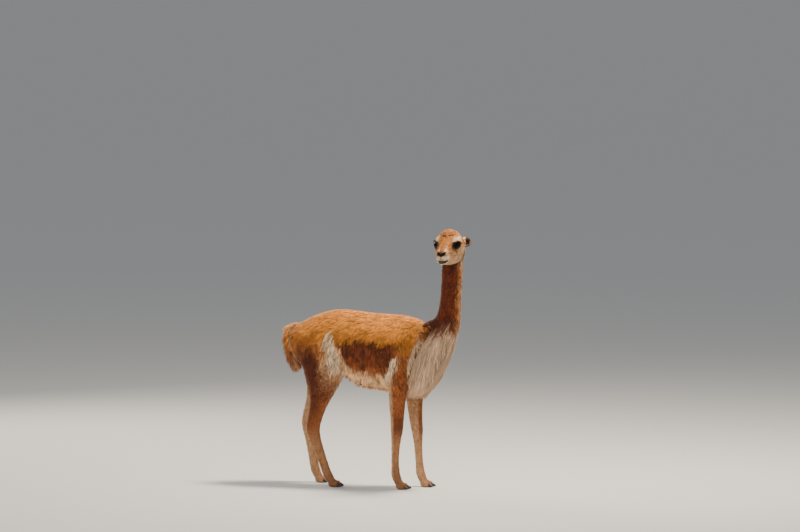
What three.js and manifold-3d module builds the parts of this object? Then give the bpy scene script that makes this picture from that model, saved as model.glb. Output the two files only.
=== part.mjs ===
// A life-size standing vicuna, head turned to its right, as a still museum model.
// Millimetres, +Z up. The body faces +X, its left side is +Y, and the soles rest at Z = 0.
// The finished group is shifted so that the origin lies under the middle of the whole animal.
import * as THREE from "three";
import { LoftGeometry } from "three/addons/geometries/LoftGeometry.js";
import { mergeVertices } from "three/addons/utils/BufferGeometryUtils.js";
import Module from "manifold-3d";

const wasm = await Module();
wasm.setup();

// Driving dimensions
const CROUP_HEIGHT = 865;
const BELLY_HEIGHT = 486;
const TRUNK_REAR = -392;
const TRUNK_FRONT = 425;
const TRUNK_HALF_WIDTH = 128;
const NECK_HALF_DEPTH = 54;
const NECK_HALF_WIDTH = 48;
const HEAD_CENTRE = new THREE.Vector3(469, -65, 1190);
const HEAD_TURN = THREE.MathUtils.degToRad(-86);
const EYE_RADIUS = 19.5;
const EAR_LENGTH = 80;
const TOE_LENGTH = 64;
const GAP = 0.3;

// Resolution of the lofts: points round a section and sections along it
const TRUNK_POINTS = 28;
const TRUNK_SECTIONS = 22;
const NECK_POINTS = 20;
const NECK_SECTIONS = 13;
const HEAD_POINTS = 26;
const HEAD_SECTIONS = 23;
const LEG_POINTS = 14;
const LEG_SECTIONS = 20;

const FORWARD = new THREE.Vector3(1, 0, 0);
const UP = new THREE.Vector3(0, 0, 1);

// Smooth values between the rows of a table, share running from 0 at the first row to 1 at the last.
function between(rows, share) {
  const last = rows.length - 1;
  const place = Math.min(Math.max(share, 0), 0.99999) * last;
  const low = Math.floor(place);
  const rest = place - low;
  const row = (k) => rows[Math.min(Math.max(k, 0), last)];
  return rows[0].map((_, c) => {
    const [a, b, d, e] = [row(low - 1)[c], row(low)[c], row(low + 1)[c], row(low + 2)[c]];
    const slopeB = (d - a) / 2;
    const slopeD = (e - b) / 2;
    const r2 = rest * rest;
    const r3 = r2 * rest;
    return (2 * r3 - 3 * r2 + 1) * b + (r3 - 2 * r2 + rest) * slopeB + (3 * r2 - 2 * r3) * d + (r3 - r2) * slopeD;
  });
}

// The values of a table whose first column falls or rises steadily, read at a value of that column.
function atValue(rows, value) {
  const rising = rows[rows.length - 1][0] > rows[0][0];
  let low = 0;
  let high = 1;
  for (let i = 0; i < 30; i++) {
    const mid = (low + high) / 2;
    if (between(rows, mid)[0] < value === rising) low = mid;
    else high = mid;
  }
  return between(rows, (low + high) / 2);
}

function smoothStep(from, to, value) {
  const t = Math.min(Math.max((value - from) / (to - from), 0), 1);
  return t * t * (3 - 2 * t);
}

// The same draws at every run, between -1 and 1.
function seededDraw(seed) {
  let state = seed;
  return () => {
    state = (state * 1103515245 + 12345) % 2147483648;
    return (state / 2147483648) * 2 - 1;
  };
}

// A closed geometry as a solid for joining and cutting, with its faces turned outwards.
function solid(geometry) {
  const bare = new THREE.BufferGeometry();
  bare.setAttribute("position", geometry.getAttribute("position"));
  bare.setIndex(geometry.index);
  const merged = mergeVertices(bare, 1e-3);
  const triVerts = new Uint32Array(merged.index.array);
  const vertProperties = new Float32Array(merged.attributes.position.array);
  let made = new wasm.Manifold(new wasm.Mesh({ numProp: 3, vertProperties, triVerts }));
  if (made.volume() < 0) {
    for (let i = 0; i < triVerts.length; i += 3) {
      [triVerts[i + 1], triVerts[i + 2]] = [triVerts[i + 2], triVerts[i + 1]];
    }
    made = new wasm.Manifold(new wasm.Mesh({ numProp: 3, vertProperties, triVerts }));
  }
  return made;
}

// Rings joined into a closed form. They are wound so that the faces point outwards.
function loft(sections) {
  const middle = sections[Math.floor(sections.length / 2)];
  const quarter = Math.floor(middle.length / 4);
  const centre = middle[0].clone().lerp(middle[2 * quarter], 0.5);
  const facing = middle[0].clone().sub(centre).cross(middle[quarter].clone().sub(centre));
  const ahead = sections[sections.length - 1][0].clone().sub(sections[0][0]);
  const wound = facing.dot(ahead) < 0 ? sections.map((s) => [...s].reverse()) : sections;
  return solid(new LoftGeometry(wound, { capStart: true, capEnd: true }));
}

const united = (solids) => wasm.Manifold.union(solids);

// What lies on the side of a plane that its normal points to.
function keepBeyond(body, normal, point) {
  const unit = normal.clone().normalize();
  return body.trimByPlane(unit.toArray(), unit.dot(point));
}

// What lies on the other side of that plane.
const keepBefore = (body, normal, point) => keepBeyond(body, normal.clone().negate(), point);

function largest(body) {
  const pieces = body.decompose();
  return pieces.reduce((a, b) => (b.volume() > a.volume() ? b : a));
}

// A ring of points, flat in the plane of the two axes given.
function ring(count, centre, across, along, shape) {
  return Array.from({ length: count }, (_, k) => {
    const angle = (k / count) * 2 * Math.PI;
    const [a, b] = shape(angle);
    return centre.clone().addScaledVector(across, a).addScaledVector(along, b);
  });
}

// Trunk: shares of its length, of the croup's height, of the belly's height and of its half width.
// The rows run over the rump, pin bones, hips, croup, loin, ribs, girth, withers, shoulder and breast.
const TRUNK = [
  [0.0, 0.842, 1.43, 0.2],
  [0.03, 0.892, 1.27, 0.55],
  [0.1, 0.934, 1.17, 0.8],
  [0.2, 0.974, 1.16, 0.9],
  [0.31, 0.998, 1.15, 0.9],
  [0.42, 0.995, 1.045, 0.93],
  [0.53, 0.986, 1.005, 1.0],
  [0.64, 0.981, 0.985, 1.0],
  [0.74, 0.974, 0.985, 0.93],
  [0.83, 0.955, 1.03, 0.8],
  [0.91, 0.92, 1.13, 0.62],
  [0.97, 0.885, 1.26, 0.42],
  [1.0, 0.855, 1.37, 0.2],
];
// Under the saddle's edge the flank steps in, from the ribs back to the loin.
const SADDLE_EDGE = 722;
const SADDLE_STEP = 0.1;
const WIDEST_SHARE = 0.54;
const BELLY_NARROWING = 0.16;

function trunkSection(share, grow) {
  const [along, topShare, bottomShare, widthShare] = between(TRUNK, share);
  const x = TRUNK_REAR + along * (TRUNK_FRONT - TRUNK_REAR);
  const top = topShare * CROUP_HEIGHT + grow;
  const bottom = bottomShare * BELLY_HEIGHT - grow;
  const half = widthShare * TRUNK_HALF_WIDTH + grow;
  const widest = bottom + WIDEST_SHARE * (top - bottom);
  const flank = smoothStep(0.3, 0.4, along) * (1 - smoothStep(0.7, 0.78, along));
  return ring(TRUNK_POINTS, new THREE.Vector3(x, 0, 0), new THREE.Vector3(0, 1, 0), UP, (angle) => {
    const height = Math.cos(angle);
    const z = widest + height * (height > 0 ? top - widest : widest - bottom);
    const narrowing = height < 0 ? 1 - BELLY_NARROWING * height * height : 1;
    const step = 1 - SADDLE_STEP * flank * (1 - smoothStep(SADDLE_EDGE - 22, SADDLE_EDGE + 10, z));
    return [Math.sin(angle) * half * narrowing * step, z];
  });
}

function trunk(grow = 0) {
  const steps = TRUNK_SECTIONS - 1;
  return loft(Array.from({ length: TRUNK_SECTIONS }, (_, i) => trunkSection(i / steps, grow)));
}

// Neck: middle of the section, lean of its axis from upright in degrees, half depth and half width as shares.
const NECK = [
  [300, 0, 676, 62, 2.05, 1.55],
  [364, 0, 730, 52, 1.85, 1.45],
  [411, 0, 782, 30, 1.46, 1.25],
  [436, 0, 830, 12, 1.16, 1.1],
  [445, 0, 876, 6, 1.04, 1.02],
  [451, -1, 930, 4, 1.0, 1.0],
  [456, -3, 990, 3, 0.98, 0.98],
  [461, -6, 1055, 3, 0.98, 0.98],
  [465, -10, 1115, 0, 0.96, 0.98],
  [467, -16, 1165, -4, 0.86, 0.9],
];

function neck(grow = 0) {
  const steps = NECK_SECTIONS - 1;
  return loft(
    Array.from({ length: NECK_SECTIONS }, (_, i) => {
      const [x, y, z, lean, depth, width] = between(NECK, i / steps);
      const tilt = THREE.MathUtils.degToRad(lean);
      const across = new THREE.Vector3(Math.cos(tilt), 0, -Math.sin(tilt));
      const left = new THREE.Vector3(0, 1, 0);
      return ring(NECK_POINTS, new THREE.Vector3(x, y, z), across, left, (angle) => [
        Math.cos(angle) * (depth * NECK_HALF_DEPTH + grow),
        Math.sin(angle) * (width * NECK_HALF_WIDTH + grow),
      ]);
    }),
  );
}

// Head: its own frame has the nose along the first axis, the left side along the second and up along the third.
const headFrame = new THREE.Matrix4()
  .makeTranslation(HEAD_CENTRE)
  .multiply(new THREE.Matrix4().makeRotationZ(HEAD_TURN));
const headPoint = (forward, left, up) => new THREE.Vector3(forward, left, up).applyMatrix4(headFrame);
const headDirection = (forward, left, up) =>
  new THREE.Vector3(forward, left, up).transformDirection(headFrame);

// Each row: distance forward, then the height of the crown, the half width and height at brow, eye, cheek and
// jaw, and the height of the underside.
const HEAD = [
  [-72, 24, 13, 19, 19, 8, 18, -6, 10, -14, -20],
  [-64, 50, 26, 40, 41, 12, 42, -16, 30, -38, -50],
  [-44, 74, 36, 59, 59, 17, 61, -24, 44, -62, -79],
  [-17, 84, 40, 69, 69, 22, 70, -27, 50, -71, -89],
  [10, 85, 39, 70, 71, 25, 70, -31, 49, -73, -91],
  [34, 76, 35, 62, 66, 27, 63, -33, 44, -72, -90],
  [53, 57, 29, 48, 56, 21, 53, -36, 38, -70, -87],
  [71, 35, 20, 30, 41, 8, 42, -39, 33, -69, -84],
  [88, 18, 15, 14, 30, -4, 34, -40, 28, -69, -82],
  [104, 6, 14, 2, 25, -15, 30, -44, 26, -69, -82],
  [118, -4, 14, -7, 25, -22, 30, -47, 24, -70, -83],
  [129, -12, 13, -15, 23, -27, 27, -49, 20, -70, -81],
  [136, -22, 9, -24, 15, -33, 18, -49, 13, -65, -73],
];

function headSection(share, grow, thin = 1) {
  const [f, top, w1, h1, w2, h2, w3, h3, w4, h4, bottom] = between(HEAD, share);
  const middle = (top + bottom) / 2;
  const half = [
    [0, top],
    [w1, h1],
    [w2, h2],
    [w3, h3],
    [w4, h4],
    [0, bottom],
  ];
  const mirrored = half.slice(1, 5).reverse().map(([w, h]) => [-w, h]);
  const outline = new THREE.CatmullRomCurve3(
    [...half, ...mirrored].map(([w, h]) => new THREE.Vector3(0, w, h)),
    true,
    "centripetal",
  );
  return Array.from({ length: HEAD_POINTS }, (_, k) => {
    const p = outline.getPointAt(k / HEAD_POINTS);
    const out = new THREE.Vector3(0, p.y, p.z - middle);
    const reach = out.length();
    out.multiplyScalar((reach * thin + grow) / reach);
    return headPoint(f, out.y, out.z + middle);
  });
}

function headShape(grow = 0, thin = 1) {
  const steps = HEAD_SECTIONS - 1;
  return loft(Array.from({ length: HEAD_SECTIONS }, (_, i) => headSection(i / steps, grow, thin)));
}

// A solid made in the head's frame, moved to where the head is.
const onHead = (geometry) => solid(geometry.applyMatrix4(headFrame));

// Eyes look out sideways, 60 degrees from straight ahead.
const EYE_AT = [47, 44.5, 10];
const EYE_ANGLE = THREE.MathUtils.degToRad(60);
const LID_THICKNESS = 3.4;
const EYE_OPENING = { long: 21, tall: 15.5, cornerDrop: 3 };

function ball(radius, forward, left, up, columns = 16, rows = 10) {
  return onHead(new THREE.SphereGeometry(radius, columns, rows).translate(forward, left, up));
}

// The opening between the lids: a pointed almond, cut outwards from inside the eyeball.
function lidOpening(side) {
  const { long, tall, cornerDrop } = EYE_OPENING;
  const almond = new THREE.Shape();
  almond.moveTo(-long, cornerDrop);
  almond.quadraticCurveTo(-long * 0.45, tall, 0, tall);
  almond.quadraticCurveTo(long * 0.6, tall, long, -cornerDrop);
  almond.quadraticCurveTo(long * 0.35, -tall, -long * 0.1, -tall);
  almond.quadraticCurveTo(-long * 0.7, -tall * 0.85, -long, cornerDrop);
  const prism = new THREE.ExtrudeGeometry(almond, { depth: 30, bevelEnabled: false, curveSegments: 5 });
  const look = new THREE.Vector3(Math.cos(EYE_ANGLE), side * Math.sin(EYE_ANGLE), 0);
  const ahead = new THREE.Vector3().crossVectors(look, UP).multiplyScalar(side);
  const turn = new THREE.Matrix4().makeBasis(ahead, UP, look);
  return onHead(prism.applyMatrix4(turn).translate(EYE_AT[0], side * EYE_AT[1], EYE_AT[2]));
}

// Nostrils are slanting slits that meet the cleft of the upper lip.
const NOSTRIL = { at: [133, 10.5, -28], size: [7, 8.5, 3.6], slant: THREE.MathUtils.degToRad(32) };

function nostril(side) {
  const [length, width, height] = NOSTRIL.size;
  const shape = new THREE.SphereGeometry(1, 10, 6).scale(length, width, height);
  shape.rotateX(side * NOSTRIL.slant);
  return onHead(shape.translate(NOSTRIL.at[0], side * NOSTRIL.at[1], NOSTRIL.at[2]));
}

function lipCleft() {
  return onHead(new THREE.BoxGeometry(12, 2, 24).translate(137, 0, -48));
}

// The line of the mouth: a thin plate, tilted up to the corners, less the inside of the muzzle.
const MOUTH = { corner: 84, front: 150, height: -66, rise: THREE.MathUtils.degToRad(13), open: 3 };

function mouthLine() {
  const length = MOUTH.front - MOUTH.corner;
  const plate = new THREE.BoxGeometry(length, 90, MOUTH.open, 1, 1, 1);
  plate.translate(-length / 2, 0, 0).rotateY(MOUTH.rise).translate(MOUTH.front, 0, MOUTH.height);
  return onHead(plate).subtract(headShape(0, 0.8));
}

function headWithFace() {
  const lids = [1, -1].map((side) =>
    ball(EYE_RADIUS + GAP + LID_THICKNESS, EYE_AT[0], side * EYE_AT[1], EYE_AT[2], 16, 10),
  );
  const sockets = [1, -1].map((side) => ball(EYE_RADIUS + GAP, EYE_AT[0], side * EYE_AT[1], EYE_AT[2]));
  const cuts = [...sockets, lidOpening(1), lidOpening(-1), nostril(1), nostril(-1), lipCleft(), mouthLine()];
  return united([headShape(), ...lids]).subtract(united(cuts));
}

// Ears: a pointed cup laid back along the head, its hollow turned outwards.
const EAR_BASE = [-18, 52, 24];
const EAR_LIES = [-0.92, 0.3, -0.12];
const EAR_OPENS = [0.5, 0.85, 0.06];
const EAR = [
  [-0.16, 10, 8],
  [0.0, 15, 10],
  [0.2, 21, 12],
  [0.45, 24, 12.5],
  [0.7, 22.5, 11],
  [0.9, 15, 8],
  [1.0, 6, 4],
];

function ear(side) {
  const lie = headDirection(EAR_LIES[0], side * EAR_LIES[1], EAR_LIES[2]);
  const open = headDirection(EAR_OPENS[0], side * EAR_OPENS[1], EAR_OPENS[2]);
  open.addScaledVector(lie, -open.dot(lie)).normalize();
  const broad = new THREE.Vector3().crossVectors(lie, open);
  const base = headPoint(EAR_BASE[0], side * EAR_BASE[1], EAR_BASE[2]);
  const shell = (from, shift, scale) =>
    loft(
      Array.from({ length: 9 }, (_, i) => {
        const [along, half, thick] = between(EAR, from + (1 - from) * (i / 8));
        const centre = base.clone().addScaledVector(lie, along * EAR_LENGTH * (shift ? 0.95 : 1));
        centre.addScaledVector(open, shift);
        return ring(12, centre, broad, open, (a) => [
          Math.cos(a) * half * scale,
          Math.sin(a) * thick * scale,
        ]);
      }),
    );
  return shell(0, 0, 1).subtract(shell(0.38, 7, 0.72));
}

// Legs: flat sections from the top down. The stance gives the middle of the leg at each height, and the build
// gives its half depth and half width.
const HIND_BUILD = [
  [760, 84, 40],
  [700, 112, 47],
  [640, 115, 48],
  [585, 114, 45],
  [540, 104, 41],
  [490, 85, 36],
  [440, 63, 32],
  [390, 48, 28],
  [335, 41, 26],
  [285, 38, 26],
  [245, 33, 24],
  [190, 27.5, 21],
  [120, 24, 19],
  [70, 25, 21],
  [45, 24, 22],
  [22, 21, 21],
];
const FORE_BUILD = [
  [770, 50, 26],
  [700, 72, 36],
  [630, 78, 40],
  [565, 66, 38],
  [500, 52, 34],
  [440, 45, 31],
  [385, 39, 28],
  [330, 34, 26],
  [285, 31.5, 26],
  [245, 26, 22],
  [190, 21, 18],
  [120, 20, 17.5],
  [70, 23, 21],
  [45, 23, 22],
  [22, 20, 21],
];
const LEGS = {
  hind_right: {
    build: HIND_BUILD,
    side: -1,
    top: 690,
    joint: 262,
    stance: [
      [760, -238, 66],
      [700, -228, 70],
      [640, -210, 74],
      [585, -188, 80],
      [540, -181, 84],
      [490, -189, 85],
      [440, -199, 84],
      [390, -216, 82],
      [335, -232, 81],
      [285, -243, 80],
      [245, -236, 80],
      [190, -215, 80],
      [120, -188, 81],
      [70, -169, 82],
      [45, -155, 82],
      [22, -141, 82],
    ],
  },
  hind_left: {
    build: HIND_BUILD,
    side: 1,
    top: 690,
    joint: 262,
    stance: [
      [760, -240, 66],
      [700, -242, 70],
      [640, -246, 74],
      [585, -250, 80],
      [540, -253, 84],
      [490, -264, 85],
      [440, -280, 84],
      [390, -303, 82],
      [335, -323, 81],
      [285, -332, 80],
      [245, -326, 80],
      [190, -318, 80],
      [120, -308, 81],
      [70, -299, 82],
      [45, -290, 82],
      [22, -278, 82],
    ],
  },
  fore_right: {
    build: FORE_BUILD,
    side: -1,
    top: 520,
    joint: 262,
    stance: [
      [770, 196, 62],
      [700, 214, 70],
      [630, 228, 78],
      [565, 222, 82],
      [500, 208, 80],
      [440, 202, 77],
      [385, 200, 75],
      [330, 199, 73],
      [285, 197, 72],
      [245, 194, 72],
      [190, 190, 72],
      [120, 189, 73],
      [70, 192, 74],
      [45, 201, 74],
      [22, 211, 74],
    ],
  },
  fore_left: {
    build: FORE_BUILD,
    side: 1,
    top: 520,
    joint: 262,
    stance: [
      [770, 206, 62],
      [700, 224, 70],
      [630, 240, 78],
      [565, 236, 82],
      [500, 228, 80],
      [440, 230, 77],
      [385, 233, 75],
      [330, 239, 73],
      [285, 245, 72],
      [245, 249, 72],
      [190, 252, 72],
      [120, 257, 73],
      [70, 262, 74],
      [45, 271, 74],
      [22, 281, 74],
    ],
  },
};

function legSection(leg, share, grow) {
  const [z, x, y] = between(leg.stance, share);
  const [, depth, width] = atValue(leg.build, z);
  const centre = new THREE.Vector3(x, leg.side * y, z);
  return ring(LEG_POINTS, centre, FORWARD, new THREE.Vector3(0, 1, 0), (angle) => [
    Math.cos(angle) * (depth + grow),
    Math.sin(angle) * (width + grow),
  ]);
}

function legShape(leg, grow = 0) {
  const steps = LEG_SECTIONS - 1;
  return loft(Array.from({ length: LEG_SECTIONS }, (_, i) => legSection(leg, i / steps, grow)));
}

// Toes: two on each foot, with a flat sole, and a nail that carries on from the cut end of each.
const TOE = { apart: 15, width: 14.5, height: 19, nailFrom: 0.52, nailLength: 21 };

function toe(leg, place) {
  const [, x, y] = leg.stance[leg.stance.length - 1];
  const spread = THREE.MathUtils.degToRad(5 * place);
  const front = new THREE.Matrix4()
    .makeTranslation(x + 2, leg.side * y + place * TOE.apart, 0)
    .multiply(new THREE.Matrix4().makeRotationZ(spread));
  const half = TOE_LENGTH / 2;
  const cutAt = half * 2 * TOE.nailFrom;
  const pad = new THREE.SphereGeometry(1, 10, 6).rotateX(Math.PI / 2);
  pad.scale(half * 1.05, TOE.width, TOE.height).translate(half * 0.42, 0, TOE.height * 0.72);
  const body = solid(pad.applyMatrix4(front)).trimByPlane([0, 0, 1], 0);
  const ahead = FORWARD.clone().transformDirection(front);
  const atCut = new THREE.Vector3(cutAt, 0, 0).applyMatrix4(front);
  const nailSections = Array.from({ length: 4 }, (_, i) => {
    const t = i / 3;
    const size = Math.sqrt(1 - 0.86 * t * t);
    const centre = new THREE.Vector3(cutAt + GAP + t * TOE.nailLength, 0, 11.2 - 4.6 * t);
    const heads = ring(10, centre, new THREE.Vector3(0, 1, 0), UP, (a) => [
      Math.cos(a) * 9.2 * size,
      Math.sin(a) * (10.5 * size - 3.4 * t),
    ]);
    return heads.map((p) => p.applyMatrix4(front));
  });
  const nail = loft(nailSections).trimByPlane([0, 0, 1], 0.8);
  return { pad: keepBefore(body, ahead, atCut), nail };
}

// A flat, tapered lock along a path, its broad side turned to face outwards.
function lock(path, outwards, width, thickness) {
  const curve = new THREE.CatmullRomCurve3(path);
  const steps = 4;
  const sections = Array.from({ length: steps + 1 }, (_, i) => {
    const t = i / steps;
    const centre = curve.getPoint(t);
    const along = curve.getTangent(t);
    const broad = new THREE.Vector3().crossVectors(along, outwards).normalize();
    const out = new THREE.Vector3().crossVectors(broad, along).normalize();
    const taper = Math.pow(Math.max(1 - t, 0), 0.55) * (0.75 + 0.6 * t);
    const half = Math.max((width / 2) * taper, 0.5);
    const thick = Math.max((thickness / 2) * Math.pow(1 - t, 0.4), 0.4);
    return ring(4, centre, broad, out, (a) => [Math.cos(a) * half, Math.sin(a) * thick]);
  });
  return loft(sections);
}

// Bib: the long coat of the breast. Each row is the height, the front and the middle of its outline, and its
// half width, from the base of the neck down to the hem.
const BIB = [
  [830, 500, 440, 54],
  [790, 494, 424, 62],
  [750, 486, 404, 76],
  [710, 478, 384, 90],
  [670, 465, 364, 100],
  [630, 448, 346, 106],
  [590, 429, 328, 106],
  [550, 412, 310, 102],
  [510, 386, 294, 92],
  [480, 358, 280, 78],
  [452, 326, 268, 60],
];
const BIB_HEM = 453;
const BIB_SPAN = THREE.MathUtils.degToRad(118);
const BIB_ROWS = [
  { height: 796, length: 78, count: 6, depth: 13 },
  { height: 742, length: 104, count: 7, depth: 21 },
  { height: 686, length: 122, count: 8, depth: 27 },
  { height: 634, length: 126, count: 8, depth: 30 },
  { height: 590, length: 118, count: 8, depth: 31 },
  { height: 548, length: 88, count: 8, depth: 28 },
];

// A point at a depth under the bib's outline, at a height and an angle from straight ahead.
function bibPoint(height, angle, depth) {
  const [, front, middle, half] = atValue(BIB, Math.max(height, BIB_HEM));
  const reach = Math.max(front - middle - depth, 6);
  const wide = Math.max(half - depth, 6);
  return new THREE.Vector3(middle + Math.cos(angle) * reach, Math.sin(angle) * wide, height);
}

function bibCore() {
  const heights = [822, 790, 755, 715, 675, 635, 595, 560, 530, 512];
  return loft(
    heights.map((height) => {
      const depth = 12 + 20 * smoothStep(800, 640, height) + 14 * smoothStep(550, 512, height);
      return Array.from({ length: 20 }, (_, k) => bibPoint(height, (k / 20) * 2 * Math.PI, depth));
    }),
  );
}

function bibLocks() {
  const draw = seededDraw(7);
  const locks = [];
  BIB_ROWS.forEach((row, r) => {
    for (let k = 0; k < row.count; k++) {
      const share = (k + (r % 2 ? 0.5 : 0.15) + 0.12 * draw()) / row.count;
      const angle = (share * 2 - 1) * BIB_SPAN;
      const length = row.length * (1 + 0.14 * draw());
      const top = row.height + 9 * draw();
      const back = Math.sign(angle) * 0.07 * (1 - Math.cos(angle));
      const lift = 2.5 * draw();
      const path = [
        bibPoint(top + 6, angle, row.depth + 12),
        bibPoint(top - 0.16 * length, angle, row.depth * 0.62 + lift),
        bibPoint(top - 0.5 * length, angle + back, row.depth * 0.34 + lift),
        bibPoint(top - 0.8 * length, angle + 2 * back, row.depth * 0.16 + lift),
        bibPoint(top - length, angle + 3 * back, 2 + lift),
      ];
      const outwards = new THREE.Vector3(Math.cos(angle), Math.sin(angle), 0);
      locks.push(lock(path, outwards, 34 + 4 * draw(), 8));
    }
  });
  return locks;
}

// Tail: a short dock that hangs close behind the rump, with locks that lie down along it.
const TAIL = [
  [-346, 776, 19],
  [-376, 765, 21],
  [-393, 735, 21],
  [-396, 695, 19],
  [-390, 652, 16],
  [-379, 614, 12],
  [-368, 588, 6],
];
const TAIL_ROWS = [
  { along: 0.16, length: 92, stand: 14 },
  { along: 0.42, length: 96, stand: 15 },
  { along: 0.66, length: 84, stand: 12 },
  { along: 0.86, length: 60, stand: 8 },
];
const TAIL_LOCKS_PER_ROW = 5;

function tailFrame(share) {
  const [x, z, radius] = between(TAIL, Math.min(share, 1));
  const [x2, z2] = between(TAIL, Math.min(share, 0.98) + 0.02);
  const [x1, z1] = between(TAIL, Math.min(share, 0.98));
  const along = new THREE.Vector3(x2 - x1, 0, z2 - z1).normalize();
  const left = new THREE.Vector3(0, 1, 0);
  const back = new THREE.Vector3().crossVectors(along, left).normalize();
  if (back.x > 0) back.negate();
  return { centre: new THREE.Vector3(x, 0, z), along, left, back, radius };
}

function tailWithLocks() {
  const draw = seededDraw(21);
  const core = loft(
    Array.from({ length: 10 }, (_, i) => {
      const { centre, left, back, radius } = tailFrame(i / 9);
      return ring(12, centre, back, left, (a) => [Math.cos(a) * radius * 0.8, Math.sin(a) * radius]);
    }),
  );
  const locks = [];
  for (const row of TAIL_ROWS) {
    for (let k = 0; k < TAIL_LOCKS_PER_ROW; k++) {
      const angle = ((k + 0.5 + 0.2 * draw()) / TAIL_LOCKS_PER_ROW - 0.5) * Math.PI * 1.15;
      const root = tailFrame(row.along);
      const out = root.back.clone().multiplyScalar(Math.cos(angle)).addScaledVector(root.left, Math.sin(angle));
      const reach = row.length * (1 + 0.15 * draw());
      const steps = [-0.06, 0.25, 0.62, 1];
      const stands = [-0.5, 0.55, 0.85, 1 + 0.3 * draw()];
      const path = steps.map((step, i) => {
        const down = root.along.clone().lerp(new THREE.Vector3(0.12, 0, -1), 0.5 * Math.max(step, 0));
        const from = root.centre.clone().addScaledVector(out, root.radius * 0.86);
        return from.addScaledVector(down, step * reach).addScaledVector(out, stands[i] * row.stand);
      });
      locks.push(lock(path, out, 23 + 3 * draw(), 7));
    }
  }
  return united([core, ...locks]);
}

// Planes that part the trunk from the breast, the breast from the neck, and the neck from the head
const BREAST_PLANE = { normal: new THREE.Vector3(326, 0, -95), point: new THREE.Vector3(232, 0, 454) };
const NECK_PLANE = { normal: new THREE.Vector3(0.3, 0, 1), point: new THREE.Vector3(330, 0, 802) };
const HEAD_PLANE = { normal: headDirection(0.5, 0, 1), point: headPoint(0, 0, -84) };

const moved = (plane, by) =>
  plane.point.clone().addScaledVector(plane.normal.clone().normalize(), by);
const legNames = Object.keys(LEGS);

// The trunk with the tops of the legs, or with everything grown a little, for cutting its neighbours clear.
function trunkWithTops(grow) {
  const tops = legNames.map((name) => legShape(LEGS[name], grow).trimByPlane([0, 0, 1], LEGS[name].top));
  return united([trunk(grow), ...tops]);
}

function legBelowTop(leg, grow) {
  return legShape(leg, grow).trimByPlane([0, 0, -1], -(leg.top - GAP + grow));
}

const solids = new Map();
const legsGrown = united(legNames.map((name) => legBelowTop(LEGS[name], GAP)));
const body = united([trunkWithTops(0), neck()]);
const bodyGrown = united([trunkWithTops(GAP), neck(GAP)]);

solids.set("torso", largest(keepBefore(body, BREAST_PLANE.normal, BREAST_PLANE.point).subtract(legsGrown)));

const front = keepBeyond(body, BREAST_PLANE.normal, moved(BREAST_PLANE, GAP));
const headAndNeck = united([front, headWithFace()]);
const neckPart = keepBeyond(headAndNeck, NECK_PLANE.normal, NECK_PLANE.point);
solids.set("neck", largest(keepBefore(neckPart, HEAD_PLANE.normal, HEAD_PLANE.point)));
solids.set("head", largest(keepBeyond(neckPart, HEAD_PLANE.normal, moved(HEAD_PLANE, GAP))));

const breast = keepBefore(front, NECK_PLANE.normal, moved(NECK_PLANE, -GAP));
const torsoGrown = keepBefore(bodyGrown, BREAST_PLANE.normal, BREAST_PLANE.point);
const neckGrown = keepBeyond(
  keepBeyond(bodyGrown, BREAST_PLANE.normal, BREAST_PLANE.point),
  NECK_PLANE.normal,
  NECK_PLANE.point,
);
const core = keepBefore(
  keepBeyond(bibCore(), BREAST_PLANE.normal, moved(BREAST_PLANE, GAP)),
  NECK_PLANE.normal,
  moved(NECK_PLANE, -GAP),
);
const bib = united([breast, core, ...bibLocks()]).subtract(united([torsoGrown, neckGrown, legsGrown]));
solids.set("breast_bib", largest(bib));

solids.set("tail", largest(tailWithLocks().subtract(united([trunkWithTops(GAP), legsGrown]))));

for (const [name, side] of [
  ["left", 1],
  ["right", -1],
]) {
  solids.set(`ear_${name}`, largest(ear(side).subtract(headShape(GAP))));
  solids.set(`eye_${name}`, ball(EYE_RADIUS, EYE_AT[0], side * EYE_AT[1], EYE_AT[2], 16, 9));
}

const ANKLE_HEIGHT = 66;
for (const name of legNames) {
  const leg = LEGS[name];
  const toes = [1, -1].map((place) => toe(leg, place));
  const whole = united([legBelowTop(leg, 0), ...toes.map((t) => t.pad)]);
  const parted = [
    ["upper", leg.top, leg.joint + GAP],
    ["lower", leg.joint, ANKLE_HEIGHT + GAP],
    ["foot", ANKLE_HEIGHT, -1],
  ];
  for (const [part, top, bottom] of parted) {
    const length = whole.trimByPlane([0, 0, 1], bottom).trimByPlane([0, 0, -1], -top);
    solids.set(`leg_${name}_${part}`, largest(length));
  }
  toes.forEach((t, i) => solids.set(`nail_${name}_${i ? "right" : "left"}`, largest(t.nail)));
}

// Materials
const finish = (color, roughness) => new THREE.MeshStandardMaterial({ color, roughness, metalness: 0 });
const COAT = finish(0xb8743a, 0.9);
const PALE_COAT = finish(0xe6d6c0, 0.9);
const EYE = finish(0x0c0806, 0.12);
const HORN = finish(0x241a14, 0.5);

function materialOf(name) {
  if (name.startsWith("eye")) return EYE;
  if (name.startsWith("nail")) return HORN;
  return name === "breast_bib" ? PALE_COAT : COAT;
}

// A solid as a named mesh of flat faces.
function meshOf(name, made) {
  const { numProp, vertProperties, triVerts, numVert } = made.getMesh();
  const places = new Float32Array(numVert * 3);
  for (let i = 0; i < numVert; i++) places.set(vertProperties.subarray(i * numProp, i * numProp + 3), i * 3);
  const geometry = new THREE.BufferGeometry();
  geometry.setAttribute("position", new THREE.BufferAttribute(places, 3));
  geometry.setIndex(new THREE.BufferAttribute(new Uint32Array(triVerts), 1));
  geometry.computeVertexNormals();
  const mesh = new THREE.Mesh(geometry, materialOf(name));
  mesh.name = name;
  return mesh;
}

const vicuna = new THREE.Group();
for (const [name, made] of solids) vicuna.add(meshOf(name, made));
const extent = new THREE.Box3().setFromObject(vicuna);
const middle = extent.getCenter(new THREE.Vector3());
vicuna.position.set(-middle.x, -middle.y, -extent.min.z);

export default vicuna;
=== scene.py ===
import math

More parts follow.
